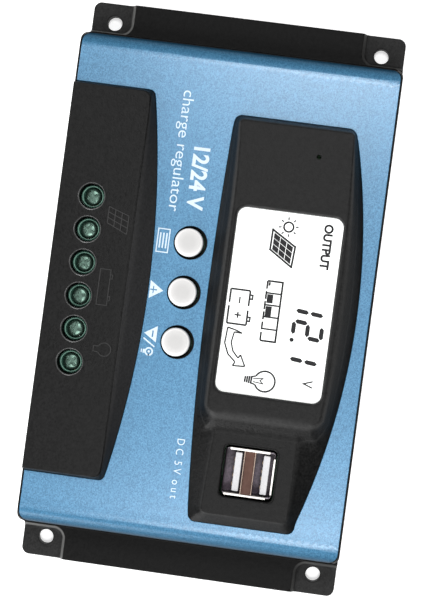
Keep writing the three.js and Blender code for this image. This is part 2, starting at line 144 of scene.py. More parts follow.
def hexgrid(x0, x1, y0, y1, s):
    ys = np.arange(y0, y1, s * 0.866)
    out = []
    for j, y in enumerate(ys):
        xs = np.arange(x0 + (s / 2 if j % 2 else 0), x1, s)
        out.append(np.c_[xs, np.full(len(xs), y)])
    return np.vstack(out)


def cdt(outer, holes, inner):
    loops = [outer] + list(holes)
    verts, edges = [], []
    for lp in loops:
        b, n = len(verts), len(lp)
        verts += [Vector((float(x), float(y))) for x, y in lp]
        edges += [(b + i, b + (i + 1) % n) for i in range(n)]
    verts += [Vector((float(x), float(y))) for x, y in inner]
    V, _, F, orig, _, _ = delaunay_2d_cdt(verts, edges, [], 1, 1e-5)
    V = np.array([v[:] for v in V])
    F = np.array([f for f in F if len(f) == 3])
    remap = {}
    for k, lst in enumerate(orig):
        for i in lst:
            remap[i] = k
    c = V[F].mean(1)
    keep = np.ones(len(c), bool)
    for h in holes:
        lo, hi = h.min(0), h.max(0)
        near = np.where(((c > lo) & (c < hi)).all(1))[0]
        keep[near[sdist(c[near], h) > 0]] = False
    F = F[keep]
    a, b, d = V[F[:, 0]], V[F[:, 1]], V[F[:, 2]]
    area = (b[:, 0] - a[:, 0]) * (d[:, 1] - a[:, 1]) - (b[:, 1] - a[:, 1]) * (d[:, 0] - a[:, 0])
    F[area < 0] = F[area < 0][:, ::-1]
    ids, base = [], 0
    for lp in loops:
        ids.append([remap[base + i] for i in range(len(lp))])
        base += len(lp)
    return V, F, ids


# ------------------------------------------------------------------ mesh helpers
def make(name, verts, faces, mat, body="housing", angle=32, recalc=True, slot=None):
    me = bpy.data.meshes.new(name)
    me.from_pydata([(float(x) * MM, float(y) * MM, float(z) * MM) for x, y, z in verts], [], [[int(i) for i in f] for f in faces])
    bm = bmesh.new()
    bm.from_mesh(me)
    bmesh.ops.remove_doubles(bm, verts=bm.verts, dist=2e-7)
    loose = [v for v in bm.verts if not v.link_faces]
    if loose:
        bmesh.ops.delete(bm, geom=loose, context="VERTS")
    if recalc:
        bmesh.ops.recalc_face_normals(bm, faces=bm.faces)
    bm.to_mesh(me)
    bm.free()
    me.polygons.foreach_set("use_smooth", [True] * len(me.polygons))
    me.set_sharp_from_angle(angle=math.radians(angle))
    o = bpy.data.objects.new(name, me)
    bpy.context.scene.collection.objects.link(o)
    if mat:
        me.materials.append(mat)
    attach(o, body)
    return o


def fillet(r, seg=5, depth=None):
    """Profile of a rounded edge: (offset inward, drop) from the flat to the wall."""
    depth = r if depth is None else depth
    return [(r * (1 - math.sin(t)), -depth * (1 - math.cos(t))) for t in np.linspace(0, math.pi / 2, seg + 1)]


def relief(name, outer, holes, H, zb, prof, hprofs, inner, mat, mapper=None, **kw):
    """A closed piece: a top that follows H over an outline with holes, edges with the given profiles, straight walls down to zb."""
    loops = [offset(outer, -prof[0][0])] + [offset(h, p[0][0]) for h, p in zip(holes, hprofs)]
    if len(inner):
        inner = np.array(inner)
        keep = sdist(inner, loops[0]) > 0.12
        for lp in loops[1:]:
            keep &= sdist(inner, lp) < -0.12
        inner = inner[keep]
    V, F, ids = cdt(loops[0], loops[1:], inner)
    n = len(V)
    verts = [(x, y, z) for (x, y), z in zip(V, H(V))]
    verts += [(x, y, zb) for x, y in V]
    faces = F.tolist() + (F[:, ::-1] + n).tolist()
    for k, (shape, p) in enumerate(zip([outer] + list(holes), [prof] + list(hprofs))):
        top = ids[k]
        zt = np.array([verts[i][2] for i in top])
        ring = top
        for off, dz in p[1:]:
            pts = offset(shape, -off if k == 0 else off)
            b = len(verts)
            verts += [(x, y, z + dz) for (x, y), z in zip(pts, zt)]
            new = list(range(b, b + len(pts)))
            for i in range(len(pts)):
                j = (i + 1) % len(pts)
                faces.append([ring[i], ring[j], new[j], new[i]])
            ring = new
        pts = offset(shape, -p[-1][0] if k == 0 else p[-1][0])
        b = len(verts)
        verts += [(x, y, zb) for x, y in pts]
        new = list(range(b, b + len(pts)))
        bot = [i + n for i in top]
        for i in range(len(pts)):
            j = (i + 1) % len(pts)
            faces.append([ring[i], ring[j], new[j], new[i]])
            if np.linalg.norm(np.array(verts[new[i]]) - np.array(verts[bot[i]])) > 1e-4:
                faces.append([new[i], new[j], bot[j], bot[i]])
    if mapper:
        verts = [mapper(*v) for v in verts]
    o = make(name, verts, faces, mat, **kw)
    w = o.modifiers.new("flat faces lead the shading", "WEIGHTED_NORMAL")
    w.keep_sharp, w.weight = True, 80
    return o


def lathe(name, profile, x, y, mat, n=48, **kw):
    """Closed turned piece about a vertical axis; the profile runs from axis to axis."""
    verts, faces, rings = [], [], []
    for r, z in profile:
        if r < 1e-6:
            rings.append([len(verts)])
            verts.append((x, y, z))
        else:
            rings.append(list(range(len(verts), len(verts) + n)))
            verts += [(x + r * math.cos(2 * math.pi * i / n), y + r * math.sin(2 * math.pi * i / n), z) for i in range(n)]
    for a, b in zip(rings, rings[1:]):
        for i in range(n):
            j = (i + 1) % n
            if len(a) == 1 and len(b) == 1:
                continue
            if len(a) == 1:
                faces.append([a[0], b[j], b[i]])
            elif len(b) == 1:
                faces.append([a[i], a[j], b[0]])
            else:
                faces.append([a[i], a[j], b[j], b[i]])
    return make(name, verts, faces, mat, **kw)


def prism(name, outline, z0, z1, mat, bevel=0.0, seg=3, **kw):
    """A closed flat piece with a rounded upper edge."""
    return relief(name, np.array(outline, float), [], lambda P: np.full(len(P), z1), z0, fillet(bevel, seg) if bevel else [(0, 0)], [], [], mat, **kw)


def bool_cut(obj, cutters):
    """Cuts the cutters out of obj and keeps the result as its mesh."""
    obj.modifiers.clear()
    for c in cutters:
        m = obj.modifiers.new("cut", "BOOLEAN")
        m.operation, m.solver, m.object = "DIFFERENCE", "EXACT", c
    bpy.context.view_layer.update()
    me = bpy.data.meshes.new_from_object(obj.evaluated_get(bpy.context.evaluated_depsgraph_get()))
    obj.modifiers.clear()
    old = obj.data
    obj.data = me
    bpy.data.meshes.remove(old)
    for c in cutters:
        bpy.data.objects.remove(c)
    me.polygons.foreach_set("use_smooth", [True] * len(me.polygons))
    me.set_sharp_from_angle(angle=math.radians(32))
    w = obj.modifiers.new("flat faces lead the shading", "WEIGHTED_NORMAL")
    w.keep_sharp, w.weight = True, 80
    return obj


def cutter_box(x0, x1, y0, y1, z0, z1):
    me = bpy.data.meshes.new("cutter")
    me.from_pydata([(x * MM, y * MM, z * MM) for x in (x0, x1) for y in (y0, y1) for z in (z0, z1)], [],
                   [(0, 1, 3, 2), (4, 6, 7, 5), (0, 4, 5, 1), (2, 3, 7, 6), (0, 2, 6, 4), (1, 5, 7, 3)])
    o = bpy.data.objects.new("cutter", me)
    bpy.context.scene.collection.objects.link(o)
    return o


WEIGHT = [1.0]


def stroke(points, w, closed=False):
    """Outline polygons of a line of width w, one quad a segment with small overlaps at the joints."""
    w = w * WEIGHT[0]
    out = []
    pts = [np.array(p, float) for p in points]
    m = len(pts) if closed else len(pts) - 1
    for i in range(m):
        a, b = pts[i], pts[(i + 1) % len(pts)]
        d = (b - a) / (np.linalg.norm(b - a) + 1e-9)
        n = np.array([-d[1], d[0]]) * w / 2
        e = d * w * 0.5
        a2 = a - (e if (closed or i > 0) else 0)
        b2 = b + (e if (closed or i < m - 1) else 0)
        out.append([a2 - n, b2 - n, b2 + n, a2 + n])
    return out


def plates(name, polys, z0, z1, mat, **kw):
    """Thin printed or segment shapes: each polygon is a small closed slab. Slabs that cross are set at slightly different heights."""
    verts, faces = [], []
    for q, poly in enumerate(polys):
        poly = [np.array(p, float) for p in poly]
        area = sum(poly[i - 1][0] * poly[i][1] - poly[i][0] * poly[i - 1][1] for i in range(len(poly)))
        if area < 0:
            poly = poly[::-1]
        dz = (q % 7) * 0.0012
        b, n = len(verts), len(poly)
        verts += [(p[0], p[1], z1 + dz) for p in poly] + [(p[0], p[1], z0) for p in poly]
        faces.append(list(range(b, b + n)))
        faces.append(list(range(b + 2 * n - 1, b + n - 1, -1)))
        for i in range(n):
            j = (i + 1) % n
            faces.append([b + i, b + n + i, b + n + j, b + j])
    me = bpy.data.meshes.new(name)
    me.from_pydata([(x * MM, y * MM, z * MM) for x, y, z in verts], [], faces)
    me.update()
    bm = bmesh.new()
    bm.from_mesh(me)
    bmesh.ops.triangulate(bm, faces=[f for f in bm.faces if len(f.verts) > 4])
    bm.to_mesh(me)
    bm.free()
    o = bpy.data.objects.new(name, me)
    bpy.context.scene.collection.objects.link(o)
    me.materials.append(mat)
    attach(o, kw.get("body", "housing"))
    return o


# ------------------------------------------------------------------ materials
def srgb(r, g, b):
    f = lambda c: c / 12.92 if c <= 0.04045 else ((c + 0.055) / 1.055) ** 2.4
    return tuple(f(c / 255) for c in (r, g, b)) + (1,)


class Nodes:
    def __init__(self, name):
        self.m = bpy.data.materials.new(name)
        self.m.use_nodes = True
        self.t = self.m.node_tree
        self.p = self.t.nodes["Principled BSDF"]
        self.co = self.t.nodes.new("ShaderNodeTexCoord").outputs["Object"]

    def node(self, kind, **props):
        n = self.t.nodes.new(kind)
        for k, v in props.items():
            if k.startswith("in_"):
                n.inputs[int(k[3:]) if k[3:].isdigit() else k[3:].replace("_", " ")].default_value = v
            else:
                setattr(n, k, v)
        return n

    def link(self, a, b):
        self.t.links.new(a, b)

    def noise(self, scale, detail=2.0, rough=0.5, vec=None):
        n = self.node("ShaderNodeTexNoise", in_Scale=scale, in_Detail=detail, in_Roughness=rough)
        self.link(vec or self.co, n.inputs["Vector"])
        return n.outputs["Fac"]

    def ramp(self, fac, stops, interp="LINEAR"):
        n = self.node("ShaderNodeValToRGB")
        n.color_ramp.interpolation = interp
        els = n.color_ramp.elements
        while len(els) < len(stops):
            els.new(0.5)
        for e, (p, c) in zip(els, stops):
            e.position = p
            e.color = c if hasattr(c, "__len__") else (c, c, c, 1)
        self.link(fac, n.inputs["Fac"])
        return n.outputs["Color"]

    def mix(self, fac, a, b, mode="MIX"):
        n = self.node("ShaderNodeMix", data_type="RGBA", blend_type=mode)
        for s, v in ((n.inputs[0], fac), (n.inputs[6], a), (n.inputs[7], b)):
            if hasattr(v, "links") or hasattr(v, "is_output"):
                self.link(v, s)
            else:
                s.default_value = v
        return n.outputs[2]

    def math(self, op, a, b=0.0, c=None):
        n = self.node("ShaderNodeMath", operation=op)
        for s, v in zip(n.inputs, (a, b) if c is None else (a, b, c)):
            if hasattr(v, "is_output"):
                self.link(v, s)
            else:
                s.default_value = v
        return n.outputs[0]

    def bump(self, height, strength, distance, normal=None):
        n = self.node("ShaderNodeBump", in_Strength=strength, in_Distance=distance)
        self.link(height, n.inputs["Height"])
        if normal:
            self.link(normal, n.inputs["Normal"])
        return n.outputs["Normal"]

    def set(self, **kw):
        for k, v in kw.items():
            s = self.p.inputs[k.replace("_", " ")]
            if hasattr(v, "is_output"):
                self.link(v, s)
            else:
                s.default_value = v
        return self.m


def black_plastic(name, base=0.0046, spread=0.85, rough=0.46, spec=0.115, finish_and_painted_highlights=None):
    """Matt black ABS with a spark-eroded grain. The sunk corners of the tray are lighter, with a stronger grain
    contrast.
    Painted highlights: the steps of the tray corners and the raised rims of the cover are painted lighter where light
    catches them."""
    n = Nodes(name)
    fine, mid, big = n.noise(1700, 2.0, 0.7), n.noise(800, 3.0, 0.6), n.noise(45, 2.0, 0.5)
    grain = n.math("ADD", n.math("MULTIPLY", fine, 0.65), n.math("MULTIPLY", mid, 0.35))
    lo, hi = base * (1 - spread), base * (1 + spread)
    col = n.ramp(grain, [(0.38, (lo, lo, lo * 1.02, 1)), (0.62, (hi, hi, hi * 1.0, 1))])
    col = n.mix(n.math("MULTIPLY", big, 0.3), col, (base * 1.5, base * 1.5, base * 1.5, 1))
    xyz_ = n.node("ShaderNodeSeparateXYZ")
    n.link(n.co, xyz_.inputs[0])
    ax, ay = n.math("ABSOLUTE", xyz_.outputs[0]), n.math("ABSOLUTE", xyz_.outputs[1])
    if finish_and_painted_highlights == "tray":
        qx, qy = n.math("MAXIMUM", n.math("SUBTRACT", 0.078, ax), 0.0), n.math("MAXIMUM", n.math("SUBTRACT", 0.0382, ay), 0.0)
        d = n.math("SUBTRACT", n.math("SQRT", n.math("ADD", n.math("MULTIPLY", qx, qx), n.math("MULTIPLY", qy, qy))), 0.0033)
        sunk = n.math("MULTIPLY", n.math("LESS_THAN", d, 0.0), n.math("GREATER_THAN", ax, 0.0735))
        col = n.mix(sunk, col, n.ramp(grain, [(0.35, (0.009, 0.009, 0.009, 1)), (0.65, (0.026, 0.026, 0.026, 1))]))
        # painted highlight: a light line along the steps into the sunk corners, on the upper surfaces only, stronger on
        # the -Y side where the light comes from
        line = n.ramp(n.math("MULTIPLY", n.math("ABSOLUTE", d), 1000.0), [(0.0, 1.0), (0.3, 0.9), (0.55, 0.0)])
        top = n.math("GREATER_THAN", xyz_.outputs[2], 0.0024)
        side = n.ramp(n.math("ADD", n.math("MULTIPLY", xyz_.outputs[1], 10.0), 0.5), [(0.4, 1.0), (0.6, 0.4)])
        fac = n.math("MULTIPLY", n.math("MULTIPLY", n.math("MULTIPLY", line, top), side), n.math("ADD", n.math("MULTIPLY", mid, 0.6), 0.55))
        col = n.mix(fac, col, (0.125, 0.125, 0.122, 1))
    if finish_and_painted_highlights == "cover":
        # painted highlight: lighter bands at the heights of the rounded rims, z 29.4 to 30.0 mm (USB plane border) and
        # 32.0 to 33.5 mm (display platform edges)
        z = n.math("MULTIPLY", xyz_.outputs[2], 25.0)
        w = n.ramp(z, [(0.735, 0.0), (0.744, 0.35), (0.748, 0.5), (0.7503, 0.0), (0.8, 0.0), (0.822, 0.9), (0.834, 0.75), (0.837, 0.0)])
        fac = n.math("MULTIPLY", w, n.math("ADD", n.math("MULTIPLY", grain, 1.2), 0.1))
        col = n.mix(fac, col, (0.034, 0.034, 0.034, 1))
        # painted sheen: the hood's slope down to the plate (y -23.6 to -6 mm, below z 30.1 mm) is painted lighter
        y_ = xyz_.outputs[1]
        hood_slope_painted_sheen = n.math("MULTIPLY", n.math("MULTIPLY", n.math("GREATER_THAN", y_, -0.0236), n.math("LESS_THAN", y_, -0.006)),
                       n.math("LESS_THAN", xyz_.outputs[2], 0.0301))
        col = n.mix(n.math("MULTIPLY", hood_slope_painted_sheen, n.math("ADD", n.math("MULTIPLY", grain, 0.5), 0.3)), col, (0.03, 0.03, 0.031, 1))
    r = n.math("ADD", n.math("MULTIPLY", fine, 0.4), rough - 0.2)
    b = n.bump(grain, 1.0, 0.00013)
    sp = n.ramp(n.math("MULTIPLY", ax, 10.0), [(0.708, spec), (0.7135, spec * 0.12)])
    sp = n.math("MAXIMUM", sp, n.math("MULTIPLY", n.math("LESS_THAN", xyz_.outputs[2], 0.0006), spec))
    return n.set(Base_Color=col, Roughness=r, Normal=b, **{"Specular IOR Level": sp})


def blue_metal(name):
    """Light blue metallic coating on sheet aluminium, with a fine sparkle; round the folded ends the colour is darkened
    as painted shade.
    """
    n = Nodes(name)
    flake = n.node("ShaderNodeTexVoronoi", in_Scale=3400.0)
    n.link(n.co, flake.inputs["Vector"])
    sep = n.node("ShaderNodeSeparateColor")
    n.link(flake.outputs["Color"], sep.inputs[0])
    fine = n.noise(5200, 1.0, 0.5)
    grain = n.math("ADD", n.math("MULTIPLY", sep.outputs[0], 0.6), n.math("MULTIPLY", fine, 0.4))
    col = n.ramp(grain, [(0.15, (0.025, 0.112, 0.213, 1)), (0.85, (0.068, 0.215, 0.365, 1))])
    xyz_ = n.node("ShaderNodeSeparateXYZ")
    n.link(n.co, xyz_.inputs[0])
    # painted shade: the colour darkens towards both bent ends, over a longer run at the +X end, for the sheet curving
    # away from the light
    bend_painted_shade = n.ramp(n.math("ADD", n.math("MULTIPLY", xyz_.outputs[0], 1000 / 150), 0.5),
                  [(0.0260, 0.08), (0.0315, 0.3), (0.0385, 0.68), (0.0475, 0.95), (0.0580, 1.0), (0.9260, 1.0), (0.9430, 0.95), (0.9530, 0.82), (0.9620, 0.6), (0.9700, 0.34), (0.9740, 0.15)])
    flat = n.ramp(n.math("ADD", n.math("MULTIPLY", xyz_.outputs[0], 1000 / 150), 0.5),
                  [(0.0330, 0.0), (0.0440, 0.3), (0.0540, 0.7), (0.0660, 1.0), (0.9200, 1.0), (0.9370, 0.78), (0.9500, 0.35), (0.9620, 0.08)])
    col = n.mix(1.0, col, bend_painted_shade, "MULTIPLY")
    rough = n.math("ADD", n.math("MULTIPLY", sep.outputs[1], 0.16), 0.34)
    b = n.bump(grain, 0.3, 0.00005)
    coat = n.math("MULTIPLY", flat, 0.85)
    m = n.set(Base_Color=col, Metallic=n.math("MULTIPLY", flat, 0.35), Roughness=rough, Normal=b, Coat_Weight=coat, **{"Coat Roughness": 0.25})
    n.link(n.math("MULTIPLY", flat, 0.3), n.p.inputs["Specular IOR Level"])
    return m


def moulded(name, color, rough=0.4, spec=0.45, grain=0.06, scale=1800, sub=0.0):
    """Smooth moulded plastic with faint mottling."""
    n = Nodes(name)
    fine, mid = n.noise(scale, 2.0, 0.6), n.noise(scale / 9, 3.0, 0.5)
    g = n.math("ADD", n.math("MULTIPLY", fine, 0.5), n.math("MULTIPLY", mid, 0.5))
    lo = tuple(c * (1 - grain * 2) for c in color[:3]) + (1,)
    hi = tuple(min(1, c * (1 + grain * 2)) for c in color[:3]) + (1,)
    col = n.ramp(g, [(0.3, lo), (0.7, hi)])
    r = n.math("ADD", n.math("MULTIPLY", mid, 0.12), rough - 0.06)
    return n.set(Base_Color=col, Roughness=r, Normal=n.bump(g, 0.15, 0.00004), **{"Specular IOR Level": spec})


def metal(name, color, rough=0.3, scratch=0.12, scale=900, stretch=(1, 1, 1)):
    """Plated or drawn metal with fine marks."""
    n = Nodes(name)
    mp = n.node("ShaderNodeMapping")
    mp.inputs["Scale"].default_value = stretch
    n.link(n.co, mp.inputs["Vector"])
    a, b = n.noise(scale, 3.0, 0.6, mp.outputs[0]), n.noise(scale / 12, 3.0, 0.5)
    lo = tuple(c * 0.72 for c in color[:3]) + (1,)
    col = n.ramp(b, [(0.3, lo), (0.6, color)])
    r = n.math("ADD", n.math("MULTIPLY", a, scratch * 2), rough - scratch)
    return n.set(Base_Color=col, Metallic=1.0, Roughness=r, Normal=n.bump(a, 0.12, 0.00003))


def board_material(name):
    """Green solder mask with faint copper tracks under it."""
    n = Nodes(name)
    br = n.node("ShaderNodeTexBrick", in_Scale=260.0)
    br.inputs["Mortar Size"].default_value = 0.03
    n.link(n.co, br.inputs["Vector"])
    tr = n.noise(500, 3.0, 0.6)
    base = n.ramp(tr, [(0.35, (0.008, 0.075, 0.026, 1)), (0.65, (0.014, 0.11, 0.04, 1))])
    col = n.mix(n.math("MULTIPLY", br.outputs["Fac"], 0.5), base, (0.03, 0.19, 0.07, 1))
    return n.set(Base_Color=col, Roughness=0.36, Normal=n.bump(br.outputs["Fac"], 0.3, 0.00004))


def clear_material(name):
    n = Nodes(name)
    f = n.noise(60, 2.0, 0.5)
    r = n.math("ADD", n.math("MULTIPLY", f, 0.03), 0.05)
    m = n.set(Base_Color=(0.02, 0.02, 0.02, 1), Roughness=r, Alpha=0.07, **{"Specular IOR Level": 0.5})
    return m


def lcd_material(name):
    """White display, a little uneven. It glows as its backlight, and the glow is strong enough to wash out the shadow
    the window frame casts on it, so part of it is painted light.
    """
    n = Nodes(name)
    f = n.noise(40, 2.0, 0.5)
    col = n.ramp(f, [(0.3, (0.86, 0.875, 0.86, 1)), (0.7, (0.93, 0.94, 0.93, 1))])
    m = n.set(Base_Color=col, Roughness=0.4)
    n.p.inputs["Emission Color"].default_value = (0.95, 0.97, 0.96, 1)
    # part backlight, part painted light: this strength washes out the window frame's shadow on the display
    n.p.inputs["Emission Strength"].default_value = 0.75
    return m


def button_material(name):
    """Off-white button, its flat top a little greyer than its rounded edge: the edge is painted lighter as a painted
    highlight.
    """
    n = Nodes(name)
    fine, mid = n.noise(2400, 2.0, 0.6), n.noise(300, 3.0, 0.5)
    xyz_ = n.node("ShaderNodeSeparateXYZ")
    n.link(n.co, xyz_.inputs[0])
    # painted highlight: below the flat top (z under 28.59 mm) the colour is lighter
    edge = n.ramp(n.math("MULTIPLY", xyz_.outputs[2], 20.0), [(0.5718, (0.8, 0.79, 0.78, 1)), (0.5737, (0.48, 0.475, 0.47, 1))])
    col = n.mix(n.math("MULTIPLY", fine, 0.22), edge, (0.36, 0.355, 0.35, 1))
    r = n.math("ADD", n.math("MULTIPLY", mid, 0.12), 0.4)
    return n.set(Base_Color=col, Roughness=r, Normal=n.bump(fine, 0.2, 0.00004), **{"Specular IOR Level": 0.4})


M = {
    # painted highlights on the cover: lighter rim bands and a lighter hood slope
    "cover": black_plastic("cover_black_abs", finish_and_painted_highlights="cover"),
    "walls": black_plastic("cover_wall_abs"),
    # painted highlight on the tray: light lines along the corner steps
    "tray": black_plastic("tray_black_abs", base=0.0036, rough=0.5, spec=0.6, finish_and_painted_highlights="tray"),
    "blue": blue_metal("face_plate_blue"),
    "clear": clear_material("window_clear"),
    "lcd": lcd_material("display_white"),
    "ink": moulded("display_segments", (0.012, 0.012, 0.014, 1), rough=0.5, spec=0.2),
    "grey_ink": moulded("display_faint_segments", (0.12, 0.12, 0.125, 1), rough=0.5, spec=0.2),
    "print": moulded("white_print", (0.56, 0.66, 0.75, 1), rough=0.5, spec=0.3, grain=0.05, scale=1400),
    "button": button_material("button_warm_white"),
    "white": moulded("white_plastic", srgb(226, 226, 222), rough=0.4),
    "black": moulded("black_epoxy", (0.012, 0.012, 0.013, 1), rough=0.5, grain=0.12),
    "green": moulded("terminal_green", (0.075, 0.2, 0.15, 1), rough=0.36, spec=0.45, grain=0.1),
    # painted shade and painted reflection: the zinc colour is made dark and green-grey for the screw heads down in the
    # green wells
    "zinc": metal("zinc_plated_steel", (0.1, 0.16, 0.132, 1), rough=0.36, scratch=0.08, scale=900),
    "steel": metal("case_screw_steel", (0.42, 0.41, 0.39, 1), rough=0.34, scratch=0.1, scale=900),
    # painted highlight: a lighter copy of the terminal green for the lit rim of each funnel
    "green_rim": moulded("terminal_green_rim_painted_highlight", (0.17, 0.33, 0.26, 1), rough=0.3, spec=0.5, grain=0.1),
    "lip": metal("socket_lip_steel", (0.86, 0.83, 0.79, 1), rough=0.5, scratch=0.05),
    # painted highlight: the lips round the hood holes are a lighter black than the cover, for the light crescent on
    # their rims
    "rim": moulded("hood_hole_rim_painted_highlight", (0.03, 0.03, 0.03, 1), rough=0.32, spec=0.5),
    "hollow": moulded("cover_underside", (0.0035, 0.0035, 0.0035, 1), rough=0.6, spec=0.1, grain=0.2),
    # painted highlight: the raised hood marks are a lighter black than the hood, for the light they catch
    "marks": moulded("hood_mark", (0.016, 0.016, 0.016, 1), rough=0.35, spec=0.3),
    # painted shade: the socket shell's steel is coloured dark for the shade inside the sockets
    "dark_steel": metal("socket_inner_steel", (0.1, 0.09, 0.1, 1), rough=0.4),
    "socket": moulded("socket_inside", (0.07, 0.05, 0.07, 1), rough=0.45, spec=0.3, grain=0.45, scale=1500),
    "tongue": moulded("socket_tongue", (0.5, 0.495, 0.51, 1), rough=0.4),
    "edge": metal("socket_bridge_edge", (0.3, 0.23, 0.19, 1), rough=0.5),
    "steel": metal("tin_plated_steel", (0.72, 0.71, 0.69, 1), rough=0.26),
    "bronze": metal("socket_bridge_bronze", (0.075, 0.031, 0.02, 1), rough=0.55),
    # painted shade: the gold of the socket contacts is darkened for the shade they sit in
    "gold": metal("contact_gold", (0.16, 0.12, 0.09, 1), rough=0.35),
    "brass": metal("contact_brass", (0.72, 0.52, 0.28, 1), rough=0.3),
    "aluminium": metal("bare_aluminium", (0.6, 0.61, 0.62, 1), rough=0.4, stretch=(1, 1, 8)),
    "ferrite": moulded("choke_core", (0.14, 0.11, 0.03, 1), rough=0.45, grain=0.15),
    "board": board_material("board_green"),
    "led": moulded("lamp_green", (0.02, 0.05, 0.02, 1), rough=0.2),
}

M["lip"].node_tree.nodes["Principled BSDF"].inputs["Metallic"].default_value = 0.4
M["bronze"].node_tree.nodes["Principled BSDF"].inputs["Metallic"].default_value = 0.5

# ------------------------------------------------------------------ outlines
hood_arc = lambda x: -17.6 - (285.5 - math.sqrt(285.5 ** 2 - x * x))
_xs = np.linspace(-53.6, 53.6, 41)
HOOD_BASE0 = round_poly(
    [(-HOOD_X, -46.5), (HOOD_X, -46.5), (HOOD_X, hood_arc(56.2) - 0.1)] + [(x, hood_arc(x)) for x in _xs[::-1]] + [(-HOOD_X, hood_arc(56.2) - 0.1)],
    [0, 0, 2.6] + [0] * 41 + [2.6])
HOOD_BASE = densify(HOOD_BASE0, 0.6)
HOOD_TOP0 =round_poly([(-55.5, -46.25), (55.5, -46.25), (55.5, -23.75), (48.0, -23.45), (-48.0, -23.45), (-55.5, -23.75)], [0.3, 0.3, 2.6, 0, 0, 2.6])
HOOD_TOP = densify(HOOD_TOP0, 0.6)

isl_low = lambda x: -0.45 + (0.0004 if x < 0 else 0.0007) * x * x
isl_high = lambda x: 42.3 - (198 - math.sqrt(198 ** 2 - x * x))
_lo = [(x, isl_low(x)) for x in np.linspace(-48.5, 60.5, 45)]
_hi = [(x, isl_high(x)) for x in np.linspace(60.5, -48.5, 45)]
ISLAND0 = round_poly([(-52.25, 0.9)] + _lo + [(64.1, 2.6), (64.1, 32.3)] + _hi + [(-52.25, 35.1)],
                     [2.8] + [0] * 45 + [3.0, 3.0] + [0] * 45 + [2.8])
ISLAND = densify(ISLAND0, 0.5)
LCD_TOP = round_poly(
    [(-50.55, 2.3), (-45, 2.75), (-36, 3.15), (-28, 3.32), (24, 3.34), (32.6, 3.5), (32.6, 36.2), (24, 36.8), (13, 37.25), (0, 37.38), (-13, 37.2), (-28, 36.57), (-40, 35.8), (-50.55, 34.95)],
    [1.2, 0, 0, 0, 0, 3.0, 3.0, 0, 0, 0, 0, 0, 0, 1.2])
_lcd_lo = [(x, isl_low(x)) for x in np.linspace(-48.5, 34, 35)]
_lcd_hi = [(x, isl_high(x)) for x in np.linspace(34, -48.5, 35)]
LCD_BASE = round_poly([(-52.25, 0.9)] + _lcd_lo + [(39.9, isl_low(38) + 0.6), (39.9, isl_high(38) - 0.6)] + _lcd_hi + [(-52.25, 35.1)],
                      [2.8] + [0] * 35 + [9.0, 9.0] + [0] * 35 + [2.8])
USB_TOP = round_poly([(28, 7.3), (60.9, 5.7), (60.9, 30.3), (28, 30.2)], [0.5, 1.6, 1.6, 0.5])


def ratio(dB, dT):
    s = dB + dT
    return np.where(np.abs(s) < 1e-6, 1.0, dB / np.where(np.abs(s) < 1e-6, 1, s))


def island_height(P):
    dB = sdist(P, ISLAND0).clip(0)
    t = ratio(sdist(P, LCD_BASE), -sdist(P, LCD_TOP)).clip(-0.5, 3)
    zl = smin(FACE_Z + (LCD_Z - FACE_Z) * t, np.full(len(P), LCD_Z), 1.5)
    tu = ratio(dB, -sdist(P, USB_TOP)).clip(0, 4)
    zu = smin(FACE_Z + (USB_Z - FACE_Z) * tu, np.full(len(P), USB_Z), 0.16)
    return np.maximum(smax(zl, zu, 1.7), FACE_Z)


def hood_height(P):
    t = ratio(sdist(P, HOOD_BASE0).clip(0), -sdist(P, HOOD_TOP0)).clip(0, 4)
    return smin(FACE_Z + (HOOD_Z - FACE_Z) * t, np.full(len(P), HOOD_Z), 0.9)


def rings(base, ds):
    return np.vstack([offset(base, -d) for d in ds])


# ------------------------------------------------------------------ cover: walls and rim
def plan(z, d=0.0, r=3.0):
    t = (z - SPLIT_Z) / (FACE_Z - SPLIT_Z)
    hx, hy = 72.2 + (71.65 - 72.2) * t - d, 47.1 + (46.5 - 47.1) * t - d
    r = max(0.7, r - d)
    xs = np.r_[np.linspace(-(hx - r), -65.7, 20), np.linspace(-65.5, 65.5, 24), np.linspace(65.7, hx - r, 20)]
    out = [(x, -hy) for x in xs] + [(hx - r + r * math.sin(a), -(hy - r) - r * math.cos(a)) for a in np.linspace(0, math.pi / 2, 12)]
    out += [(hx, y) for y in np.linspace(-(hy - r), hy - r, 12)[1:-1]]
    out += [(hx - r + r * math.cos(a), hy - r + r * math.sin(a)) for a in np.linspace(0, math.pi / 2, 12)]
    out += [(x, hy) for x in xs[::-1]] + [(-(hx - r) - r * math.sin(a), hy - r + r * math.cos(a)) for a in np.linspace(0, math.pi / 2, 12)]
    out += [(-hx, y) for y in np.linspace(hy - r, -(hy - r), 12)[1:-1]]
    out += [(-(hx - r) - r * math.cos(a), -(hy - r) - r * math.sin(a)) for a in np.linspace(0, math.pi / 2, 12)]
    return np.array(out)


def top_z(x):
    x = np.abs(x)
    return np.where(x < 66.2, FACE_Z, np.where(x < 71.2, RIM_Z + np.sqrt((25 - (x - 66.2).clip(0, 5) ** 2).clip(0)), RIM_Z))


def ring_piece(name, ring_list, mat, **kw):
    """Closed band from rings of equal length, joined first to last."""
    n = len(ring_list[0])
    verts = [tuple(p) for r in ring_list for p in r]
    faces = []
    for k in range(len(ring_list)):
        a, b = k * n, ((k + 1) % len(ring_list)) * n
        for i in range(n):
            j = (i + 1) % n
            faces.append([a + i, a + j, b + j, b + i])
    return make(name, verts, faces, mat, **kw)


def xyz(P, z):
    return np.c_[P, np.broadcast_to(z, len(P))]


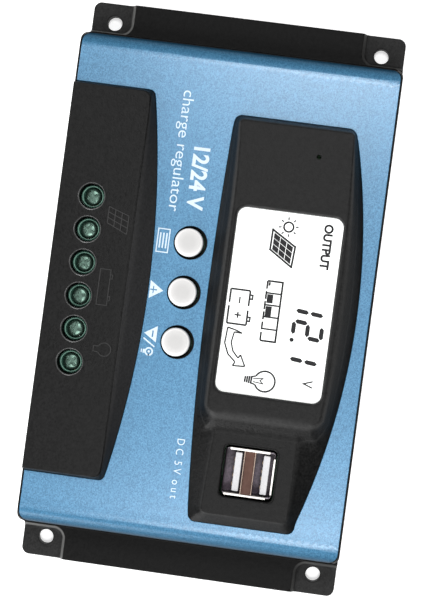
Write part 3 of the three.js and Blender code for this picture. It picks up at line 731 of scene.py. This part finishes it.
def make_cover_walls():
    rr = []
    z0 = SPLIT_Z + 0.15
    rr.append(xyz(plan(z0, 2.0), z0))
    rr.append(xyz(plan(z0, 0.35), z0))
    rr.append(xyz(plan(z0 + 0.1, 0.1), z0 + 0.1))
    rr.append(xyz(plan(z0 + 0.35), z0 + 0.35))
    for z in (14.0, 19.0):
        rr.append(xyz(plan(z), z))
    top = plan(FACE_Z)
    zt = top_z(top[:, 0])
    body = plan(21.0)
    rr.append(xyz(body, 21.0))
    R = 0.4
    for a in np.linspace(0, math.pi / 2, 6):
        P = plan(FACE_Z, R * (1 - math.cos(a)))
        mix = ((zt - RIM_Z) / 5.0).clip(0, 1)[:, None]
        Q = plan(RIM_Z, R * (1 - math.cos(a))) * (1 - mix) + P * mix
        rr.append(xyz(Q, 0) + np.c_[np.zeros((len(Q), 2)), zt - R * (1 - math.sin(a))])
    P = plan(FACE_Z, 0.48) * 1.0
    P[:, 0] = np.where(np.abs(P[:, 0]) > 71.25, np.sign(P[:, 0]) * 71.25, P[:, 0])
    rr.append(np.c_[P, np.minimum(top_z(P[:, 0]), zt + 0.4)])
    rr.append(np.c_[P, top_z(P[:, 0]) - 1.4])
    P2 = plan(FACE_Z, 2.2)
    rr.append(np.c_[P2, np.minimum(top_z(P2[:, 0]) - 1.4, 25.6)])
    rr.append(xyz(plan(14.0, 2.0), 14.0))
    o = ring_piece("cover_walls", rr, M["walls"], slot="black_abs")
    cuts = [cutter_box(x - 3.3, x + 3.3, -50, -43, 10.4, 16.9) for x in POLES]
    cuts += [cutter_box(i * 5 - 1, i * 5 + 1, 43, 50, 11.5, 20.5) for i in range(-7, 8)]
    return bool_cut(o, cuts)


cover_walls = make_cover_walls()

# hood over the terminals
holes = [circle(x, POLE_Y, 3.7, 44) for x in POLES]
_in = [rings(HOOD_BASE, (0.15, 0.35, 0.6, 0.9)), rings(HOOD_TOP, (0.0, 0.35, 0.8)), offset(HOOD_TOP, 0.35), offset(HOOD_TOP, 0.8)]
_g = hexgrid(-56, 56, -27.5, -17, 0.8)
hood = relief("cover_hood", HOOD_BASE, holes, hood_height, 23.5, [(0.0, 0.0)], [fillet(0.12, 3)] * 6, np.vstack(_in + [_g, hexgrid(-54, 54, -45, -28, 3.0)]),
              M["cover"], slot="black_abs")

# display island
win = rect(*WIN, seg=0.25)
usb_cut = rect(USB[0], USB[1], 7.45, 7.65, 1.7, seg=0.2)
pin = circle(-42.6, 25.8, 0.62, 20)
_g = hexgrid(-52, 64, -1, 43, 0.42)
_h = island_height(_g)
_wall = (_h > FACE_Z + 0.01) & (np.abs(_h - LCD_Z) > 0.004) & (np.abs(_h - USB_Z) > 0.004)
_flat = hexgrid(-52, 64, -1, 43, 2.2)
_dl, _du = sdist(_g, LCD_TOP), sdist(_g, USB_TOP)
_wall &= ~((_dl > -1.5) & (_dl < 1.2)) & ~((np.abs(_du) < 0.45) & (_dl < -1.5))
_lt, _ut = densify(LCD_TOP, 0.5), densify(USB_TOP, 0.5)
_rl = np.vstack([offset(_lt, d) for d in (1.35, 1.1, 0.85, 0.6, 0.35, 0.1, -0.15, -0.4, -0.7, -1.05)])
_ru = np.vstack([offset(_ut, d) for d in (0.3, 0.12, 0.0, -0.12, -0.3)])
_ru = _ru[sdist(_ru, LCD_TOP) < -1.6]
_pts = np.vstack([_g[_wall], _flat[np.abs(sdist(_flat, LCD_TOP)) > 1.6], _rl, _ru, rings(ISLAND, (0.1, 0.22, 0.36, 0.52, 0.7, 0.9))])
island = relief("cover_island", ISLAND, [win, usb_cut, pin], island_height, 25.6, [(0.0, 0.0)],
                [[(0.62, 0.0), (0.5, -0.05), (0.06, -0.6), (0.0, -0.75), (0.0, -4.2)], fillet(0.25, 4), fillet(0.15, 3)], _pts, M["cover"], slot="black_abs")

# black shelf of the cover under the plate, with collars round the buttons
_sx = np.linspace(-56, 56, 29)
SHELF = np.array([(x, hood_arc(x) - 0.9) for x in _sx] + [(x, isl_low(x) + 1.1) for x in _sx[::-1]])
shelf = relief("cover_shelf", SHELF, [circle(x, y + 0.05, 4.5, 48) for x, y in BUTTONS], lambda P: np.full(len(P), 25.9), 24.4, [(0, 0)], [fillet(0.2, 3)] * 3, [], M["hollow"], slot="black_abs")
lips_ = []
for k, x in enumerate(POLES):
    # lip round the hood hole, in the lighter black of the painted highlight
    prof = [(3.62, 30.1), (3.64, 30.42), (3.74, 30.5), (3.9, 30.44), (4.05, 30.28), (4.08, 30.1), (3.62, 30.1)]
    lips_.append(lathe(f"hood_hole_lip_{k + 1}", prof, x, POLE_Y, M["rim"], 56, slot="black_abs", angle=60))
    prof = [(3.3, 24.4), (3.3, 27.1), (3.2, 27.28), (3.06, 27.1), (2.6, 25.6), (2.56, 24.4), (3.3, 24.4)]
    lips_.append(lathe(f"terminal_funnel_{k + 1}", prof, x, POLE_Y, M["green"], 48, slot="green_plastic", angle=40))
    # funnel rim in the lighter green of the painted highlight
    prof = [(2.72, 27.0), (2.74, 27.45), (2.82, 27.6), (2.96, 27.6), (3.06, 27.45), (3.08, 27.0), (2.72, 27.0)]
    lips_.append(lathe(f"terminal_rim_{k + 1}", prof, x, POLE_Y, M["green_rim"], 48, slot="green_plastic", angle=40))
block = relief("terminal_block_body", rect(0, -37.25, 28.9, 6.75, 0.5, 0.3), [circle(x, POLE_Y, 2.56, 40) for x in POLES], lambda P: np.full(len(P), 24.4), 8.8,
               fillet(0.4, 3), [fillet(0.1, 2)] * 6, [], M["green"], slot="green_plastic")
bool_cut(block, [cutter_box(x - 3.6, x + 3.6, -50, -31.9, 9.4, 19.4) for x in POLES])
walls = [prism(f"terminal_wall_{i + 1}", rect((i - 3) * 9.5, -43.2, 0.5, 0.75, 0.15, 0.1), 9.4, 19.4, M["green"], slot="green_plastic") for i in range(1, 6)]
block.name = "terminal_block_body"
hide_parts("terminal_block")

# ------------------------------------------------------------------ blue plate, made flat and bent at both ends
ARC = BEND_R * math.pi / 2


def bend(u, y, z):
    s, a = math.copysign(1, u), abs(u)
    d = z - FACE_Z                                   # distance out from the outer face
    if a <= 66.2:
        return (u, y, z)
    if a <= 66.2 + ARC:
        t = (a - 66.2) / BEND_R
        return (s * (66.2 + (BEND_R + d) * math.sin(t)), y, FACE_Z - BEND_R + (BEND_R + d) * math.cos(t))
    return (s * (66.2 + BEND_R + d), y, FACE_Z - BEND_R - (a - 66.2 - ARC))


_U = 66.2 + ARC + 1.2


def plate_half(u):
    """Half width of the plate where the flat pattern has reached u: its corners are rounded in plan."""
    x = 66.2 + BEND_R * math.sin(min(max(u - 66.2, 0) / BEND_R, math.pi / 2))
    return PLATE_Y if x < 68.2 else PLATE_Y - 3.0 + math.sqrt(max(0.0, 9.0 - (x - 68.2) ** 2))


_nh = offset(HOOD_BASE, 0.12)
_nh = _nh[_nh[:, 1] > -45.0]
_nh = _nh[np.argsort(-np.arctan2(_nh[:, 0], _nh[:, 1] + 60))][::-1]
_nh = _nh[np.argsort(np.unwrap(np.arctan2(_nh[:, 1] + 45.0, _nh[:, 0])))][::-1]
_us = np.r_[np.linspace(66.2, 66.2 + ARC, 25), _U - 0.6]
_yb = PLATE_Y
outer = [(-_U, -plate_half(_U))] + [(-u, -plate_half(u)) for u in _us[::-1]] + [(-HOOD_X - 0.12, -_yb)] + [tuple(p) for p in _nh] + [(HOOD_X + 0.12, -_yb)]
outer += [(u, -plate_half(u)) for u in _us] + [(_U, -plate_half(_U)), (_U, plate_half(_U))] + [(u, plate_half(u)) for u in _us[::-1]] + [(-u, plate_half(u)) for u in _us] + [(-_U, plate_half(_U))]
PLATE = np.array(outer)
_r = [0.0] * len(PLATE)
_int = np.vstack([np.c_[np.full(38, s * u), np.linspace(-42.5, 42.5, 38)] for u in _us for s in (-1, 1)] + [hexgrid(-64.5, 64.5, -45, 45, 4.0)]
                 + [np.c_[np.full(76, s * u), np.linspace(-43.8, 43.8, 76)] for u in (65.9, 65.3) for s in (-1, 1)]
                 + [offset(densify(ISLAND, 0.8), d)[::k] for d, k in ((0.4, 1), (0.8, 1), (1.5, 2))]
                 + [circle(x, y + 0.38, r, 64) for x, y in BUTTONS for r in (5.1, 5.6)])
_cut = [offset(ISLAND, 0.12)] + [circle(x, y + 0.38, 4.82, 64) for x, y in BUTTONS]
plate = relief("blue_face_plate", PLATE, _cut, lambda P: np.full(len(P), FACE_Z), FACE_Z - 0.8, [(0.12, 0), (0.04, -0.04), (0, -0.12)],
               [[(0.1, 0), (0.03, -0.03), (0, -0.1)]] * 4, _int, M["blue"], mapper=bend, slot="blue_aluminium", angle=12)

# ------------------------------------------------------------------ back tray with ears
def pocket(sx, sy):
    pts = [(74.7, 50), (74.7, 34.9), (88, 34.9), (88, 50)]
    p = round_poly(pts, [0, 3.3, 0, 0], 0.25)
    return densify(p * [sx, sy], 0.5)


POCKETS = [pocket(a, b) for a in (1, -1) for b in (1, -1)]


def tray_height(P):
    z = np.full(len(P), STRIP_Z)
    for k in POCKETS:
        d = sdist(P, k)
        t = ((d + 0.6) / 1.5).clip(0, 1)
        s = t * t * (3 - 2 * t)
        z = np.minimum(z, STRIP_Z - (STRIP_Z - TAB_Z) * s)
    return z


ear = densify(rect(0, 0, EAR_X, EAR_Y, 2.3, 0.25), 0.8)
slots = [rect(cx + i * 6, 0, 1.2, 15, 1.15, 0.3) for cx in (-30, 30) for i in range(-3, 4)]
screws = [circle(sx * 66, sy * 39, 3.1, 36) for sx in (-1, 1) for sy in (-1, 1)]
mounts = [circle(sx * HOLE_X, sy * HOLE_Y, HOLE_R, 40) for sx in (-1, 1) for sy in (-1, 1)]
_pk = np.vstack([offset(k if (k[:, 0].mean() * k[:, 1].mean() > 0) else k[::-1], -d) for k in POCKETS for d in (-0.9, -0.7, -0.5, -0.3, -0.1, 0.1, 0.3, 0.5, 0.65)])
_ears = hexgrid(71, 83.6, -47, 47, 1.0)
tray = relief("back_tray", ear, mounts + slots + screws, tray_height, 0.0, fillet(0.45, 5), [fillet(0.3, 4)] * 4 + [[(0, 0)]] * 18,
              np.vstack([_pk, _ears, _ears * [-1, 1], hexgrid(-70, 70, -46, 46, 5.0)]), M["tray"], slot="black_abs")


def tray_wall():
    rr = []
    z1 = SPLIT_Z - 0.15
    rr.append(xyz(plan(z1, 2.0), 4.6))
    b = plan(SPLIT_Z, -0.1)
    rr.append(xyz(b, 4.6))
    rr.append(xyz(plan(SPLIT_Z, -0.05), z1 - 0.35))
    rr.append(xyz(plan(SPLIT_Z, 0.08), z1 - 0.08))
    rr.append(xyz(plan(SPLIT_Z, 0.35), z1))
    rr.append(xyz(plan(SPLIT_Z, 2.0), z1))
    return ring_piece("tray_wall", rr, M["tray"], slot="black_abs")


tray_walls = tray_wall()
posts = []
for k, (sx, sy) in enumerate([(-1, -1), (1, -1), (1, 1), (-1, 1)]):
    x, y = sx * 66, sy * 39
    posts.append(lathe(f"screw_post_{k + 1}", [(1.75, 2.9), (3.0, 2.9), (3.0, 8.8), (1.75, 8.8), (1.75, 2.9)], x, y, M["tray"], 36, slot="black_abs"))
    posts.append(lathe(f"cover_post_{k + 1}", [(1.5, 9.2), (3.2, 9.2), (3.2, 20.5), (1.5, 20.5), (1.5, 9.2)], x, y, M["cover"], 36, slot="black_abs"))

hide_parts("top_cover")
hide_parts("face_plate")
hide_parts("base_tray")

def label(name, words, x0, x1, y0, y1, z0, z1, mat, weight=0.0):
    """Words fitted to a box, reading along +X, as closed thin solids."""
    cu = bpy.data.curves.new(name, "FONT")
    cu.body, cu.size, cu.resolution_u, cu.extrude, cu.offset = words, 1.0, 4, 0.5, weight
    tmp = bpy.data.objects.new(name, cu)
    bpy.context.scene.collection.objects.link(tmp)
    bpy.context.view_layer.update()
    me = bpy.data.meshes.new_from_object(tmp.evaluated_get(bpy.context.evaluated_depsgraph_get()))
    bpy.data.objects.remove(tmp)
    bpy.data.curves.remove(cu)
    v = np.empty(len(me.vertices) * 3)
    me.vertices.foreach_get("co", v)
    v = v.reshape(-1, 3)
    lo, hi = v.min(0), v.max(0)
    q = (v - lo) / (hi - lo)
    v = np.c_[x0 + q[:, 0] * (x1 - x0), y0 + q[:, 1] * (y1 - y0), z0 + q[:, 2] * (z1 - z0)] * MM
    me.vertices.foreach_set("co", v.ravel())
    bm = bmesh.new()
    bm.from_mesh(me)
    bmesh.ops.remove_doubles(bm, verts=bm.verts, dist=1e-7)
    bmesh.ops.dissolve_degenerate(bm, edges=bm.edges, dist=1e-7)
    bmesh.ops.recalc_face_normals(bm, faces=bm.faces)
    bm.to_mesh(me)
    bm.free()
    me.materials.clear()
    me.materials.append(mat)
    o = bpy.data.objects.new(name, me)
    bpy.context.scene.collection.objects.link(o)
    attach(o, "housing")
    return o


# ------------------------------------------------------------------ display
lens = relief("display_window", rect(0, 20.25, 26.15, 14.9, 2.45, 0.25), [], lambda P: np.full(len(P), 32.6), 30.9, fillet(0.08, 2), [], [], M["clear"], slot="clear_acrylic")
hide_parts("lcd_window")
panel = prism("display_panel", rect(0, 20.25, 27.9, 15.6, 0.6), 27.9, 30.0, M["lcd"], 0.1, slot="display_white")
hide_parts("lcd_glass")

Z0, Z1 = 29.98, 30.05


def seg_digit(cx, cy, h, w, on, t):
    """A slanted seven-segment figure, reading along +X with its top towards +Y."""
    out = []
    a, b = w / 2, h / 2
    bars = {"A": ((-a, b), (a, b)), "G": ((-a, 0), (a, 0)), "D": ((-a, -b), (a, -b)), "F": ((-a, 0), (-a, b)), "B": ((a, 0), (a, b)), "E": ((-a, -b), (-a, 0)), "C": ((a, -b), (a, 0))}
    for s in on:
        (x0, y0), (x1, y1) = bars[s]
        p, q = np.array([x0, y0]), np.array([x1, y1])
        d = (q - p) / np.linalg.norm(q - p)
        n = np.array([-d[1], d[0]])
        p, q = p + d * t * 0.14, q - d * t * 0.14
        e = t * 0.5
        poly = [p, p + d * e + n * e, q - d * e + n * e, q, q - d * e - n * e, p + d * e - n * e]
        out.append([(cx + v[0] + v[1] * 0.1, cy + v[1]) for v in poly])
    return out


ink, faint = [], []
WEIGHT[0] = 1.45
# digits 12.1
ink += seg_digit(-0.5, 29.0, 8.2, 3.4, "BC", 1.25)
ink += seg_digit(6.2, 29.0, 8.0, 4.0, "ABGED", 1.25)
ink += seg_digit(13.2, 29.0, 8.2, 3.4, "BC", 1.25)
ink.append([(9.25 + 0.62 * math.cos(a), 24.9 + 0.62 * math.sin(a)) for a in np.linspace(0, 2 * math.pi, 12, endpoint=False)])

label("display_word", "OUTPUT", -24.4, -11.5, 29.9, 32.6, Z0, Z1, M["ink"], 0.045)
label("display_unit", "V", 20.0, 22.2, 29.4, 32.4, Z0, Z1, M["ink"], 0.01)
# sun
c = np.array([-22.2, 19.94])
ink += stroke([c + 1.35 * np.array([math.cos(a), math.sin(a)]) for a in np.linspace(0, 2 * math.pi, 20, endpoint=False)], 0.34, True)
for k in range(8):
    a = k * math.pi / 4 + 0.1
    v = np.array([math.cos(a), math.sin(a)])
    faint += stroke([c + v * 2.0, c + v * 2.8], 0.3)
# panel, 3 by 3
A, B, C, D = [np.array(p, float) for p in ((-20.99, 15.62), (-16.84, 22.48), (-11.01, 22.11), (-15.25, 15.53))]
bil = lambda u, v: (A * (1 - u) + D * u) * (1 - v) + (B * (1 - u) + C * u) * v
ink += stroke([A, D, C, B], 0.38, True)
for i in range(3):
    for j in range(3):
        u0, v0 = 0.085 + i * 0.285, 0.08 + j * 0.287
        u1, v1 = u0 + 0.262, v0 + 0.266
        ink.append([bil(u0, v0), bil(u1, v0), bil(u1, v1), bil(u0, v1)])
# level bar of five cells
x0, x1, y0, y1 = -6.4, 10.6, 16.1, 20.4
ink += stroke([(x1, y0), (x1, y1), (x0, y1), (x0, y0)], 0.38)
for k in range(6):
    ink += stroke([(x0 + 2.9 * k, y0), (x0 + 2.9 * k + (2.3 if k < 5 else 2.4), y0)], 0.36)
for k in range(1, 5):
    x = x0 + (x1 - x0) * k / 5
    ink += stroke([(x, y0), (x, y1)], 0.32)
for k, wdt in ((0, 1.0), (1, 2.5), (2, 3.0)):
    xa = x0 + (x1 - x0) * k / 5 + 0.35
    ink.append([(xa, y0 + 0.35), (xa + wdt, y0 + 0.35), (xa + wdt, y0 + (0.9 if k == 0 else 2.1)), (xa, y0 + (0.9 if k == 0 else 2.1))])
# battery with plus and minus
bx0, bx1, by0, by1 = -2.9, 6.9, 6.1, 11.6
for a, b in (((bx0, by0), (bx0 + 3.9, by0)), ((bx0 + 4.8, by0), (bx1, by0)), ((bx1, by0), (bx1, by1)), ((bx1, by1), (bx0 + 5.6, by1)), ((bx0 + 4.4, by1), (bx0, by1)), ((bx0, by1), (bx0, by0))):
    ink += stroke([a, b], 0.36)
for x in (bx0 + 1.2, bx1 - 2.3):
    ink += stroke([(x, by1), (x, by1 + 0.85), (x + 1.1, by1 + 0.85), (x + 1.1, by1)], 0.32)
ink += stroke([(-0.9, 8.9), (1.0, 8.9)], 0.3)
ink += stroke([(3.4, 8.9), (5.2, 8.9)], 0.3) + stroke([(4.3, 8.0), (4.3, 9.8)], 0.3)
# bent arrow from battery to lamp
arr = [(8.1, 6.6), (12.6, 6.3), (15.6, 7.6), (17.6, 9.9), (18.7, 9.3), (18.5, 12.8), (15.4, 11.2), (16.4, 10.6), (14.6, 8.9), (12.2, 8.1), (9.2, 8.6), (9.3, 10.9), (8.6, 8.9)]
for a, b in zip(arr, arr[1:] + arr[:1]):
    ink += stroke([a, b], 0.28)
# lamp
c = np.array([21.97, 18.94])
ring = [c + 2.9 * np.array([math.cos(a), math.sin(a)]) for a in np.linspace(math.radians(-65), math.radians(245), 26)]
ink += stroke(ring, 0.33)
ink += stroke([ring[0], (22.9, 15.3)], 0.3) + stroke([ring[-1], (21.0, 15.3)], 0.3)
for k in range(4):
    ink += stroke([(20.8 + 0.1 * k, 15.2 - 0.6 * k), (23.1 - 0.1 * k, 15.05 - 0.6 * k)], 0.34)
ink += stroke([(21.5, 15.6), (21.2, 18.4), (21.9, 17.6), (22.7, 18.5), (22.4, 15.6)], 0.2)
segs = plates("display_segments", ink, Z0, Z1, M["ink"], slot="display_white")
segs2 = plates("display_faint_segments", faint, Z0, Z1, M["grey_ink"], slot="display_white")

# ------------------------------------------------------------------ white print on the plate
P0, P1 = 26.995, 27.03
WEIGHT[0] = 1.0
pr = []
label("print_title", "12/24 V", -41.7, -23.7, -9.9, -5.1, P0, P1, M["print"], 0.03)
label("print_line", "charge regulator", -57.4, -22.6, -15.9, -11.7, P0, P1, M["print"], -0.004)
label("print_output", "D C  5 V  o u t", 41.5, 58.6, -3.5, -1.3, P0, P1, M["print"], 0.0)
# menu mark: box with three lines
pr += stroke([(-17.3, -16.8), (-10.65, -16.8), (-10.65, -13.5), (-17.3, -13.5)], 0.32, True)
for y in (-14.25, -15.15, -16.05):
    pr += stroke([(-16.2, y), (-11.8, y)], 0.42)
# up mark with a plus, in four parts round the sign
tri = np.array([(-2.3, -17.1), (2.9, -17.1), (0.3, -13.2)])
cx, cy = 0.3, -16.0


def tri_with_sign(tri, sign):
    """Triangle as strips that leave the sign free."""
    out = []
    lo, hi = tri[:, 1].min(), tri[:, 1].max()
    ys = np.linspace(lo, hi, 27)
    for a, b in zip(ys, ys[1:]):
        m = (a + b) / 2
        f = (m - tri[0][1]) / (tri[2][1] - tri[0][1])
        xl = tri[0][0] + (tri[2][0] - tri[0][0]) * f
        xr = tri[1][0] + (tri[2][0] - tri[1][0]) * f
        spans = [(xl, xr)]
        for sx0, sx1, sy0, sy1 in sign:
            if sy0 < m < sy1:
                spans = [p for q in spans for p in ((q[0], min(q[1], sx0)), (max(q[0], sx1), q[1])) if p[1] - p[0] > 0.03]
        out += [[(p, a), (q, a), (q, b + 0.004), (p, b + 0.004)] for p, q in spans]
    return out


pr += tri_with_sign(tri, [(-0.75, 1.35, -16.2, -15.85), (0.12, 0.48, -17.0, -15.0)])
tri = np.array([(10.5, -13.35), (15.2, -13.35), (12.85, -17.0)])
pr += tri_with_sign(tri, [(11.9, 13.8, -14.7, -14.35)])
pr += stroke([(14.3, -17.0), (16.5, -13.6)], 0.4)
lc = np.array([18.0, -15.0])
pr += stroke([lc + 1.0 * np.array([math.cos(a), math.sin(a)]) for a in np.linspace(0, 2 * math.pi, 22, endpoint=False)], 0.42, True)
pr.append([lc + 0.35 * np.array([math.cos(a), math.sin(a)]) for a in np.linspace(0, 2 * math.pi, 10, endpoint=False)])
pr += [[(17.45, -16.75), (18.55, -16.75), (18.55, -16.2), (17.45, -16.2)], [(17.5, -17.3), (18.5, -17.3), (18.5, -17.0), (17.5, -17.0)]]
prints = plates("white_print", pr, P0, P1, M["print"], slot="blue_aluminium")

# faint raised marks on the hood
mk = []
for s in range(4):
    mk += stroke([(-21.4 + s * 1.55, -31.3), (-19.4 + s * 1.75, -25.4)], 0.22)
for s in range(4):
    f = s / 3
    mk += stroke([(-21.4 + 2.0 * f, -31.3 + 5.9 * f), (-16.75 + 2.6 * f, -31.3 + 5.9 * f)], 0.22)
mk += stroke([(-3.6, -31.4), (6.6, -31.4), (6.6, -28.4), (-3.6, -28.4)], 0.22, True) + stroke([(-2.2, -28.4), (-2.2, -27.8), (-1.0, -27.8), (-1.0, -28.4)], 0.22) + stroke([(4.0, -28.4), (4.0, -27.8), (5.2, -27.8), (5.2, -28.4)], 0.22)
mk += stroke([(19.1 + 1.9 * math.cos(a), -27.4 + 1.9 * math.sin(a)) for a in np.linspace(-1.1, 4.24, 18)], 0.22) + stroke([(18.3, -29.2), (18.3, -30.5), (19.9, -30.5), (19.9, -29.2)], 0.22)
# marks in the lighter black of the painted highlight
marks = plates("hood_marks", mk, HOOD_Z - 0.05, HOOD_Z + 0.1, M["marks"], slot="black_abs")

# ------------------------------------------------------------------ buttons
for k, (x, y) in enumerate(BUTTONS):
    n = k + 1
    prof = [(0, 23.5), (4.0, 23.5), (4.08, 23.6), (4.06, 27.75)]
    prof += [(4.06 - 0.5 * (1 - math.cos(a)), 27.75 + 0.8 * math.sin(a)) for a in np.linspace(0.15, math.pi / 2, 8)]
    prof += [(3.3, 28.63), (3.0, 28.66), (2.0, 28.7), (1.0, 28.72), (0, 28.73)]
    b = lathe(f"button_{n}_cap", prof, x, y, M["button"], 72, body=f"button_{n}", slot="button_plastic", angle=50)
    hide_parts(f"button_cap_{n}")

# ------------------------------------------------------------------ double USB socket
ux, uy = USB
bead = ring_piece("usb_opening_bead", [xyz(rect(ux, uy, 7.62 + a, 7.82 + a, 1.8, 0.2), z) for a, z in ((0, 29.9), (0.03, 30.08), (0.12, 30.12), (0.24, 30.06), (0.28, 29.9))], M["cover"], slot="black_abs")
ports = [(13.35, 2.62), (22.0, 2.68)]
# shell body in the dark steel of the painted shade
shell = relief("usb_shell_body", rect(ux, uy, 6.78, 7.2, 0.9, 0.2), [rect(ux, py, 6.22, ph, 0.35, 0.2) for py, ph in ports],
               lambda P: np.full(len(P), 27.9), 15.0, fillet(0.3, 3), [[(0, 0)]] * 2, [], M["dark_steel"], slot="plated_steel")
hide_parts("usb_shell")
# bright lips at both ends and at the far side, and the bridge between the sockets
lip_x = lambda nm, x0, x1, y0, y1, z=29.7, mt="lip": prism(nm, rect((x0 + x1) / 2, (y0 + y1) / 2, (x1 - x0) / 2, (y1 - y0) / 2, 0.18, 0.1), 27.2, z, M[mt], 0.07, slot="plated_steel")
lips = [lip_x("usb_lip_near", 41.6, 42.2, 11.9, 23.3), lip_x("usb_lip_far", 54.55, 55.1, 11.5, 23.4), lip_x("usb_lip_side", 43.4, 53.6, 24.5, 24.98)]
bridge = prism("usb_bridge", rect(ux, 17.68, 6.2, 1.32, 0.2, 0.1), 27.4, 29.3, M["bronze"], 0.1, slot="plated_steel")
lips += [lip_x("usb_bridge_edge_1", 42.2, 54.5, 16.02, 16.32, 29.6, "edge"), lip_x("usb_bridge_edge_2", 42.2, 54.5, 19.04, 19.34, 29.6, "edge")]
for k, (y0, y1) in enumerate(((13.6, 15.5), (21.6, 23.5))):
    prism(f"usb_tongue_{k + 1}", rect(ux, (y0 + y1) / 2, 5.5, (y1 - y0) / 2, 0.3, 0.1), 15.5, 29.0, M["tongue"], 0.2, slot="white_plastic")
    for c in range(4):
        cx = ux + (-3.5, -1.0, 1.0, 3.5)[c]
        # contacts in the darkened gold of the painted shade
        prism(f"usb_contact_{k + 1}_{c + 1}", rect(cx, y0 - 0.12, 0.5, 0.13, 0.05, 0.05), 17.8, 28.3, M["gold"], 0.05, slot="brass")
floor_piece = prism("usb_socket_floor", rect(ux, uy, 6.7, 7.1, 0.5, 0.2), 14.2, 21.5, M["socket"], 0.1, slot="white_plastic")
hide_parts("usb_insulator")

# ------------------------------------------------------------------ terminal screws with a cross recess
for k, x in enumerate(POLES):
    n = k + 1
    prof = [(0, 17.5), (1.2, 17.5), (1.65, 18.1)]
    z = 18.2
    while z < 24.9:
        prof += [(1.7, z), (1.48, z + 0.3)]
        z += 0.6
    prof += [(1.6, 25.2), (2.25, 25.2), (2.4, 25.35), (2.4, 26.6), (2.32, 26.95), (2.05, 27.2), (1.5, 27.35), (0.8, 27.4), (0, 27.4)]
    # head in the dark green-grey zinc colour of the painted shade
    s = lathe(f"terminal_screw_head_{n}", prof, x, POLE_Y, M["zinc"], 40, body=f"screw_{n}", slot="zinc_steel")
    turn = math.radians((20, 65, 38, 12, 80, 50)[k])
    cuts = []
    for q in (0, math.pi / 2):
        c = cutter_box(-1.8, 1.8, -0.46, 0.46, 26.0, 28.0)
        c.matrix_world = Matrix.Translation((x * MM, POLE_Y * MM, 0)) @ Matrix.Rotation(turn + q, 4, "Z")
        cuts.append(c)
    bool_cut(s, cuts)
    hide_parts(f"terminal_screw_{n}")

# ------------------------------------------------------------------ carried-over CAD nodes
LOOK = {"lcd_backlight": "white", "display_pcb": "board", "status_led": "led", "usb_pcb": "board", "usb_header": "black",
        "main_pcb": "board", "heat_sink": "aluminium", "inductor": "ferrite", "mcu": "black", "board_header": "black", "current_shunt": "brass"}
for i in range(1, 7):
    LOOK[f"clamp_cage_{i}"], LOOK[f"contact_bar_{i}"] = "steel", "brass"
for i in range(1, 5):
    LOOK[f"mosfet_{i}"], LOOK[f"case_screw_{i}"] = "black", "steel"
for i in range(1, 4):
    LOOK[f"capacitor_{i}"], LOOK[f"tact_switch_{i}"], LOOK[f"switch_plunger_{i}"] = "aluminium", "black", "black"
for name, look in LOOK.items():
    o = nodes[name]
    o.data.materials.clear()
    o.data.materials.append(M[look])
    if name.split("_")[0] in ("terminal", "clamp", "contact", "case", "heat", "mcu", "usb", "board", "tact", "lcd"):
        b = o.modifiers.new("edge", "BEVEL")
        b.width, b.segments, b.limit_method, b.angle_limit = 0.00012, 2, "ANGLE", math.radians(40)
        b.harden_normals = False

# ------------------------------------------------------------------ floor, light and camera
me = bpy.data.meshes.new("floor")
me.from_pydata([(-6, -6, -0.0002), (6, -6, -0.0002), (6, 6, -0.0002), (-6, 6, -0.0002)], [], [(0, 1, 2, 3)])
floor = bpy.data.objects.new("floor", me)
bpy.context.scene.collection.objects.link(floor)
fm = Nodes("floor_white")
me.materials.append(fm.set(Base_Color=(0.9, 0.9, 0.9, 1), Roughness=0.9, **{"Specular IOR Level": 0.1, "Emission Color": (1, 1, 1, 1), "Emission Strength": 0.5}))

scene = bpy.context.scene
world = bpy.data.worlds.new("studio")
scene.world = world
world.use_nodes = True
bg = world.node_tree.nodes["Background"]
bg.inputs["Color"].default_value = (1.0, 1.0, 1.0, 1)
bg.inputs["Strength"].default_value = 0.28
scene.view_settings.view_transform = "Standard"


def area(name, loc, target, size, power, color=(1, 1, 1)):
    l = bpy.data.lights.new(name, "AREA")
    l.shape, l.size, l.energy, l.color = "SQUARE", size, power, color
    o = bpy.data.objects.new(name, l)
    bpy.context.scene.collection.objects.link(o)
    o.location = loc
    o.rotation_euler = (Vector(target) - Vector(loc)).to_track_quat("-Z", "Y").to_euler()
    return o


area("softbox_a", (-0.38, 0.04, 1.1), (-0.02, 0.0, 0), 0.28, 5.7)
area("softbox_b", (0.39, 0.06, 1.1), (0.02, 0.0, 0), 0.28, 6.7)
area("key", (0.9, -0.25, 0.3), (0, 0, 0.02), 0.45, 9.0)
area("side", (-0.1, -0.85, 0.3), (0, 0, 0.02), 0.4, 4.0)

cam_data = bpy.data.cameras.new("camera")
cam = bpy.data.objects.new("camera", cam_data)
scene.collection.objects.link(cam)
R = [[-0.13260583, 0.98990627, -0.05001266], [0.99113571, 0.13201987, -0.01485767], [-0.00810504, -0.05153954, -0.99863806]]
cam.matrix_world = Matrix(((R[0][0], -R[1][0], -R[2][0], 0.00470246), (R[0][1], -R[1][1], -R[2][1], 0.02409683), (R[0][2], -R[1][2], -R[2][2], 0.475), (0, 0, 0, 1)))
cam_data.sensor_fit = "VERTICAL"
cam_data.sensor_height = 36.0
cam_data.sensor_width = 36.0
cam_data.lens = 1573.82 * 36 / 600
cam_data.clip_start, cam_data.clip_end = 0.01, 50
scene.camera = cam
